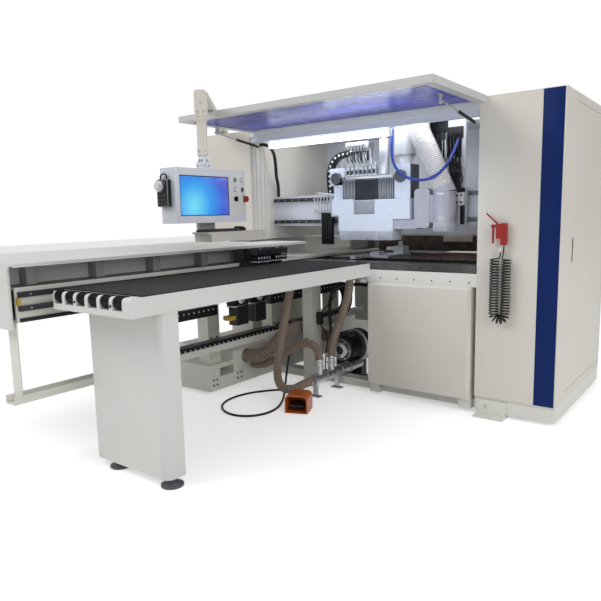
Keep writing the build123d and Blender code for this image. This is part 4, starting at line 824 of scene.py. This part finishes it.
def make_head_chain():
    """Energy chain that arches over the left drive, on a bracket of the saddle."""
    route = upright(-278, [(-318, 1484), (-330, 1600), (-326, 1700), (-262, 1774), (-150, 1788), (-60, 1778)])
    links = 13
    spots = spots_at(points_on(smooth_line("head_chain", route)), [i / links for i in range(links + 1)])
    chain, pins = Piece(), Piece()
    for here, after in zip(spots, spots[1:]):
        ahead = (after - here).normalized()
        up = Vector(FRONT).cross(ahead)
        middle = (here + after) / 2
        length, width, height = (after - here).length * 1.04, 52, 46
        made = bmesh.ops.create_cube(chain.mesh, size=1)["verts"]
        for vert in made:
            along, across, high = vert.co.x * length, vert.co.y * width, vert.co.z * height
            vert.co = middle + ahead * along + Vector(REAR) * across + up * high
        chain.soften(made, 4)
        pins.lathe(middle + Vector((0, -25, 0)), FRONT, [(0, 9), (2, 9), (3, 6)], 14)
    chain.block((-346, -140), (-299, -256), (1476, 1486), 2)
    chain.done("head_chain", BLACK, "head_saddle", "black_plastic")
    pins.done("head_chain_pins", PALE_PLASTIC, "head_saddle", "white_plastic")


def make_side_bracket():
    """White air manifold at the left of the saddle with its lines, and a black cable box below it."""
    bracket = Piece().block((-505, -149), (-284, -258), (1335, 1402), 3)
    bracket.block((-330, -149), (-290, -258), (1300, 1474), 3)
    for i in range(6):
        x = -485 + 30 * i
        bracket.block((x - 11, x + 11), (-300, -283), (1345, 1392), 3)
        bracket.line([(x, -292, 1390), (x + 4, -304, 1456), (x + 50, -308, 1502 - 5 * i),
                      (x + 112, -302, 1478), (x + 128, -288, 1440), (x + 130, -280, 1400)], 4.5)
    bracket.done("side_manifold", PALE_PLASTIC, "head_saddle", "white_plastic")
    box = Piece().block((-425, -318), (-286, -258), (1080, 1336), 4)
    box.row(5, 21, (-420, -407), (-293, -285), (1090, 1326))
    box.done("side_cable_box", BLACK, "head_saddle", "black_plastic")


def make_lift_drive():
    dark = Piece().block((498, 664), (-293, -158), (1866, 1959), 4)
    dark.row(9, 17, (504, 513), (-301, -290), (1870, 1950))
    dark.block((552, 648), (-294, -258), (1488, 1868), 3)
    dark.row(4, 23, (558, 573), (-299, -292), (1500, 1860))
    dark.block((658, 764), (-292, -188), (1692, 1852), 4)
    dark.row(5, 20, (662, 676), (-304, -292), (1700, 1844))
    for x in range(669, 750, 20):
        dark.lathe((x, -298, 1844), UP, [(0, 8), (20, 8), (24, 5)], 14)
    dark.block((653, 758), (-296, -178), (1550, 1592), 4)
    dark.block((656, 774), (-304, -262), (1818, 1898), 4)
    dark.row(6, 19, (660, 671), (-311, -303), (1824, 1892))
    dark.block((764, 797), (-303, -296), (1232, 1482), 2)
    dark.done("lift_drive_case", BLACK, "head_saddle", "black_plastic")
    pale = Piece().block((663, 752), (-300, -264), (1590, 1656), 5)
    pale.block((622, 664), (-297, -289), (1690, 1816), 2)
    dial_x, dial_z = 720, 1672
    pale.lathe((dial_x, -298, dial_z), FRONT, [(-8, 24), (10, 24), (14, 21)], 28)
    pale.lathe((700, -300, 1510), UP, [(0, 30), (40, 33), (44, 20)], 28)
    pale.block((738, 798), (-333, -301), (1363, 1453), 4)
    pale.done("lift_regulator", PALE_PLASTIC, "head_saddle", "white_plastic")
    holes = Piece()
    for place in product((753, 783), [-332.5], (1384, 1432)):
        holes.lathe(place, FRONT, [(0, 8), (1.2, 8), (1.2, 5)], 18)
    holes.lathe((dial_x, -312.2, dial_z), FRONT, [(0, 18), (0.8, 18)], 28)
    holes.done("lift_block_sockets", CHARCOAL, "head_saddle", "black_plastic")
    cables = Piece()
    for i in range(5):
        x = 668 + 22 * i
        cables.line([(x, -300, 1700), (x + 8, -312, 1660 - 8 * i), (x + 30, -318, 1600 - 20 * i),
                     (x + 44 - 8 * i, -314, 1520), (776 - 6 * i, -310, 1478)], 4.5)
    for i in range(4):
        x = 668 + 24 * i
        cables.line([(x, -308, 1826), (x + 8, -344, 1790), (x + 36, -352, 1680), (x + 40 - 4 * i, -350, 1560),
                     (764 + 4 * i, -340, 1490), (756 + 9 * i, -326, 1450)], 7, 10)
    cables.done("drive_cables", BLACK, "head_saddle", "black_plastic")


# Clamps
def make_clamps():
    plate, saddle, pin_line = -470, -556, -399.6
    for name, y in (("near", -1042), ("far", -847)):
        body = f"{name}_clamp"
        middle = y - 175
        metal_parts = Piece().block((saddle, plate), (middle - 73, middle + 73), (684, 694), 2)
        metal_parts.bolts((-544, -482), (middle - 60, middle + 60), [684], DOWN, 5, 4)
        metal_parts.block((saddle, -473), (middle - 72, middle + 42), (744, 792), 8)
        metal_parts.bolts([plate], (y - 58, y, y + 58), [915], RIGHT, 7, 6)
        metal_parts.lathe((-452, middle - 20, 745), RIGHT, [(-4, 36), (0, 36), (3, 30), (3, 14), (8, 14)], 28)
        metal_parts.done(f"{name}_clamp_fittings", ALUMINIUM, body, "machined_aluminium")
        dark = Piece()
        for dy in (-45, 45):
            dark.lathe((-436, y + dy, 1084), UP, [(0, 17), (3, 17), (8, 15), (8, 9)], 24)
        for dy in (-62, -20, 20, 62):
            dark.block((-472, -462), (y + dy - 14, y + dy + 14), (1046, 1080), 3)
        dark.block((saddle, -474), (middle - 74, middle + 40), (700, 742), 5)
        dark.done(f"{name}_clamp_cylinders", BLACK, body, "black_plastic")
        tips, pins = Piece(), Piece()
        for i in range(5):
            place = y - 60 + 30 * i
            tips.block((plate, -400.5), (place - 9.5, place + 9.5), (990.5, 997), 2)
            tips.lathe((pin_line, place, 1012), UP, [(0, 3.4), (2, 4), (14, 4), (16, 3)], 16)
            pins.lathe((pin_line, place, 1027), UP, [(0, 3), (34, 3), (34, 4), (48, 4), (50, 3)], 16)
        tips.done(f"{name}_jaw_pads", PALE_PLASTIC, f"{name}_jaw", "white_plastic")
        pins.done(f"{name}_jaw_pins", BLACK, f"{name}_jaw", "black_plastic")
    bumper = Piece().block((-540, -472), (-1346, -1282), (596, 628), 5)
    bumper.block((-530, -482), (-1352, -1344), (602, 622), 3)
    bumper.done("clamp_bumper", YELLOW, "near_clamp", "white_plastic")


# Suction plant, around the manifold's pipe
PIPE_X, PIPE_Z, SPIGOT_Z, TRUNK_RADIUS, BRANCH_RADIUS = -80, 130, 256, 55, 32


def make_plant():
    bands, width = Piece(), 14
    for place, axis, radius in (
        ((PIPE_X, -962, PIPE_Z), REAR, BRANCH_RADIUS), ((PIPE_X, -830, SPIGOT_Z), UP, BRANCH_RADIUS),
        ((PIPE_X, -677, SPIGOT_Z), UP, BRANCH_RADIUS), ((-741, -905, 234), RIGHT, TRUNK_RADIUS),
        ((-350, -225, 300), RIGHT, TRUNK_RADIUS), ((-742, -830, 150), RIGHT, BRANCH_RADIUS),
    ):
        inner, outer = radius - 4, radius + 1
        bands.lathe(place, axis, [(0, inner), (0, outer), (width, outer), (width, inner)], 40)
        outward = UP if axis != UP else FRONT
        screw = Vector(place) + Vector(axis) * width / 2 + Vector(outward) * (radius + 4) - Vector((8, 0, 0))
        bands.bolt(screw, RIGHT, 4.5, 16)
    for y in (-905, -700, -640, -520, -480, -360):
        bands.lathe((PIPE_X, y, PIPE_Z), REAR, [(0, 36), (0, 40), (9, 40), (9, 36)], 40)
    bands.done("hose_bands", STEEL, "base", "ground_steel")
    flange = Piece().block((-745.5, -738), (-985, -825), (166, 302), 3)
    flange.bolts([-738], (-973, -837), (178, 290), RIGHT, 6, 6)
    flange.done("trunk_flange", BASE_LIT_WHITE, "base", "base_grey_paint")
    make_blower()


def make_blower():
    x, z, bolt_ring = -132, 262, 72
    domed = [(-4, 80), (4, 84), (22, 82), (24, 66), (40, 64), (43, 58), (43, 34), (39, 32), (39, 10)]
    cap = Piece().lathe((x, -438, z), FRONT, domed, 44)
    for i in range(6):
        turn = math.pi / 3 * i
        cap.bolt((x + bolt_ring * math.cos(turn), -462, z + bolt_ring * math.sin(turn)), FRONT, 5, 5)
    cap.lathe((x, -266, z), FRONT, [(-6, 137), (6, 137), (10, 131), (10, 118)], 56)
    cap.done("blower_end_cap", ALUMINIUM, "base", "machined_aluminium")
    blower = Piece().lathe((x, -300, z), FRONT, [(0, 90), (0, 104), (18, 104), (18, 90)], 44)
    blower.block((-176, -88), (-400, -320), (340, 392), 6)
    blower.done("blower_terminal_box", DARK_PAINT, "base", "dark_machine_paint")


# Boom bolts, base bolts, trim of the clamp beam and the bed
BOOM_BASE, POST = Vector((-1240, -551, 0)), Vector((-289, -1712, 0))


def make_boom_bolts():
    ahead = (POST - BOOM_BASE).normalized()
    across = Vector(UP).cross(ahead)
    bolts = Piece().bolt(POST + ahead * 36 + Vector((0, 0, 1992)), ahead, 5, 4)
    collar = Piece()
    for side in (-18, 18):
        for out, z in ((36, 1913), (36, 1942), (31, 1712)):
            bolts.bolt(POST + ahead * out + across * side + Vector((0, 0, z)), ahead, 5, 4)
        collar.bolt(POST + Vector((30, side, 1628)), RIGHT, 5, 4)
        collar.bolt(POST + Vector((side, -30, 1628)), FRONT, 5, 4)
    bolts.done("boom_bolts", STEEL, "boom", "ground_steel")
    collar.lathe(POST + Vector((0, 0, 1650)), UP, [(0, 30), (0, 31), (14, 31), (14, 30)], 40)
    collar.done("swivel_bolts", STEEL, "console", "ground_steel")


def make_base_bolts():
    base = Piece().bolts([-745], (-1260, -1225, -1000, -960), (70, 110), RIGHT, 8, 6)
    base.bolts([-795], (-1220, -1160, -480, -420), (420, 700), RIGHT, 8, 6)
    base.done("base_bolts", GREY_PAINT, "base", "dark_machine_paint")


def make_beam_trim():
    wall, ledge, start = -719, 986, 632
    for side, name in ((-1, "near"), (1, "far")):
        liner = Piece().block((-720.2, -718.6), sorted((side * start, side * 2818)), (ledge, 1094), 0.4)
        liner.done(f"cover_liner_{name}", LINER_GREY, "base", "base_grey_paint")
        # Painted shade: a thin dark sheet on the beam's top, where the cover's shadow falls
        shade_sheet = Piece().block((wall, -560.6), sorted((side * start, side * 2790)), (984.6, 986.4), 0.4)
        shade_sheet.done(f"beam_top_shade_{name}", BEAM_TOP_SHADE, "base", "black_rubber")
    dark = Piece().block((-560.4, -553.5), (-2786, 2786), (805, 826), 1)
    comb, tooth = -302.9, 96.17
    dark.bolts((comb + tooth, comb + 4 * tooth), [-2691], [925], FRONT, 7, 3)
    dark.bolts(range(-340, 1000, 130), [-614], [866], FRONT, 5, 3)
    dark.done("beam_rack", BLACK, "base", "dark_machine_paint")
    # Full-height rib plates in a darker grey: painted shade on the white cover's ribs
    ribs, half = Piece(), 28.6
    for side in (-1, 1):
        for y in range(-2660, -700, 420):
            ribs.block((wall, -639.4), sorted((side * (y - half), side * (y + half))), (ledge, 1096), 1)
    ribs.done("cover_ribs", RIB_SHADE_GREY, "base", "base_grey_paint")
    bumpers = Piece()
    for side in (-1, 1):
        bumpers.block((-561, -532), sorted((side * 2784, side * 2799)), (894, 933), 4)
    bumpers.done("beam_bumpers", YELLOW, "base", "white_plastic")


def make_bed_trim():
    bracket = Piece().block((118, 205), (-632, -613.8), (830, 872), 3)
    bracket.bolts((136, 187), [-632], [851], FRONT, 7, 5)
    bracket.done("table_bracket", STEEL, "base", "ground_steel")
    strips, half = Piece(), 8.6
    for y in range(-100, 520, 100):
        strips.block((252, 999), (y - half, y + half), (966.4, 977), 1)
    strips.done("bed_strips", BROWN, "base", "black_plastic")


# Studio
FLOOR_REACH, FLOOR_TONE, FLOOR_LIFT = 30, (0.90, 0.90, 0.90), 0.45
SKY_TONE, SKY_LIGHT, SKY_SEEN = (0.95, 0.97, 1.0), 0.40, 1.06


def seen_by(tree, *rays):
    """Value that is 1 for the two named kinds of ray and 0 for all others."""
    path = tree.nodes.new("ShaderNodeLightPath")
    seen = tree.nodes.new("ShaderNodeMath")
    seen.operation = "MAXIMUM"
    for ray, socket in zip(rays, seen.inputs):
        tree.links.new(path.outputs[f"Is {ray} Ray"], socket)
    return seen.outputs[0]


def make_floor():
    data = bpy.data.meshes.new("floor")
    corners = [(x * FLOOR_REACH, y * FLOOR_REACH, 0) for x, y in ((-1, -1), (1, -1), (1, 1), (-1, 1))]
    data.from_pydata(corners, [], [(0, 1, 2, 3)])
    shader = Shader("studio_floor", FLOOR_TONE, 0.9)
    lift = shader.node("ShaderNodeMath", {1: FLOOR_LIFT}, operation="MULTIPLY")
    shader.link(seen_by(shader.tree, "Camera", "Glossy"), lift.inputs[0])
    shader.link(lift.outputs[0], shader.base.inputs["Emission Strength"])
    data.materials.append(shader.set(Emission_Color=(1, 1, 1, 1)).material)
    show("floor", data)


def make_world():
    world = bpy.data.worlds.new("studio")
    bpy.context.scene.world = world
    world.use_nodes = True
    tree = world.node_tree
    background = tree.nodes["Background"]
    background.inputs["Color"].default_value = (*SKY_TONE, 1)
    level = tree.nodes.new("ShaderNodeMapRange")
    level.inputs["To Min"].default_value = SKY_LIGHT
    level.inputs["To Max"].default_value = SKY_SEEN
    tree.links.new(seen_by(tree, "Camera", "Transmission"), level.inputs["Value"])
    tree.links.new(level.outputs["Result"], background.inputs["Strength"])


def area_light(name, place, target, size, power, colour=(1, 1, 1), depth=None):
    data = bpy.data.lights.new(name, "AREA")
    data.shape = "RECTANGLE" if depth else "DISK"
    data.size = size
    data.size_y = depth or size
    data.energy = power
    data.color = colour
    light = show(name, data)
    light.location = place
    light.rotation_euler = (Vector(target) - Vector(place)).to_track_quat("-Z", "Y").to_euler()
    light.visible_camera = False


def make_studio():
    make_floor()
    make_world()
    area_light("booth", (0.15, -1.05, 1.42), (0.15, -0.3, 1.34), 1.5, 2.4, (0.76, 0.86, 1.0), 0.4)
    area_light("booth_top", (0.05, -0.50, 1.93), (0.05, 0.05, 1.35), 1.6, 2.9, (0.86, 0.92, 1.0), 0.1)
    area_light("lid_glow", (0.39, -0.95, 1.88), (0.39, -1.05, 1.98), 0.64, 0.5, (0.85, 0.88, 1.0), 0.05)
    area_light("key", (-3.0, -6.0, 5.5), (0, -0.8, 0.9), 4.0, 180)
    area_light("fill", (6.0, -3.0, 3.5), (0.5, 0, 1.0), 4.0, 105)
    area_light("top", (0.5, 0.5, 6.5), (0, -0.5, 0), 5.0, 125)
    bpy.context.scene.view_settings.view_transform = "Standard"


make_camera()
make_hoses()
make_cables()
make_curly_hose()
make_skirts()
make_console()
make_cabinet_trim()
make_rail_screws()
make_chain_rivets()
make_motors()
make_drives()
make_head_trim()
make_valves()
make_head_chain()
make_side_bracket()
make_lift_drive()
make_clamps()
make_plant()
make_boom_bolts()
make_base_bolts()
make_beam_trim()
make_bed_trim()
dress_nodes()
round_edges()
make_studio()
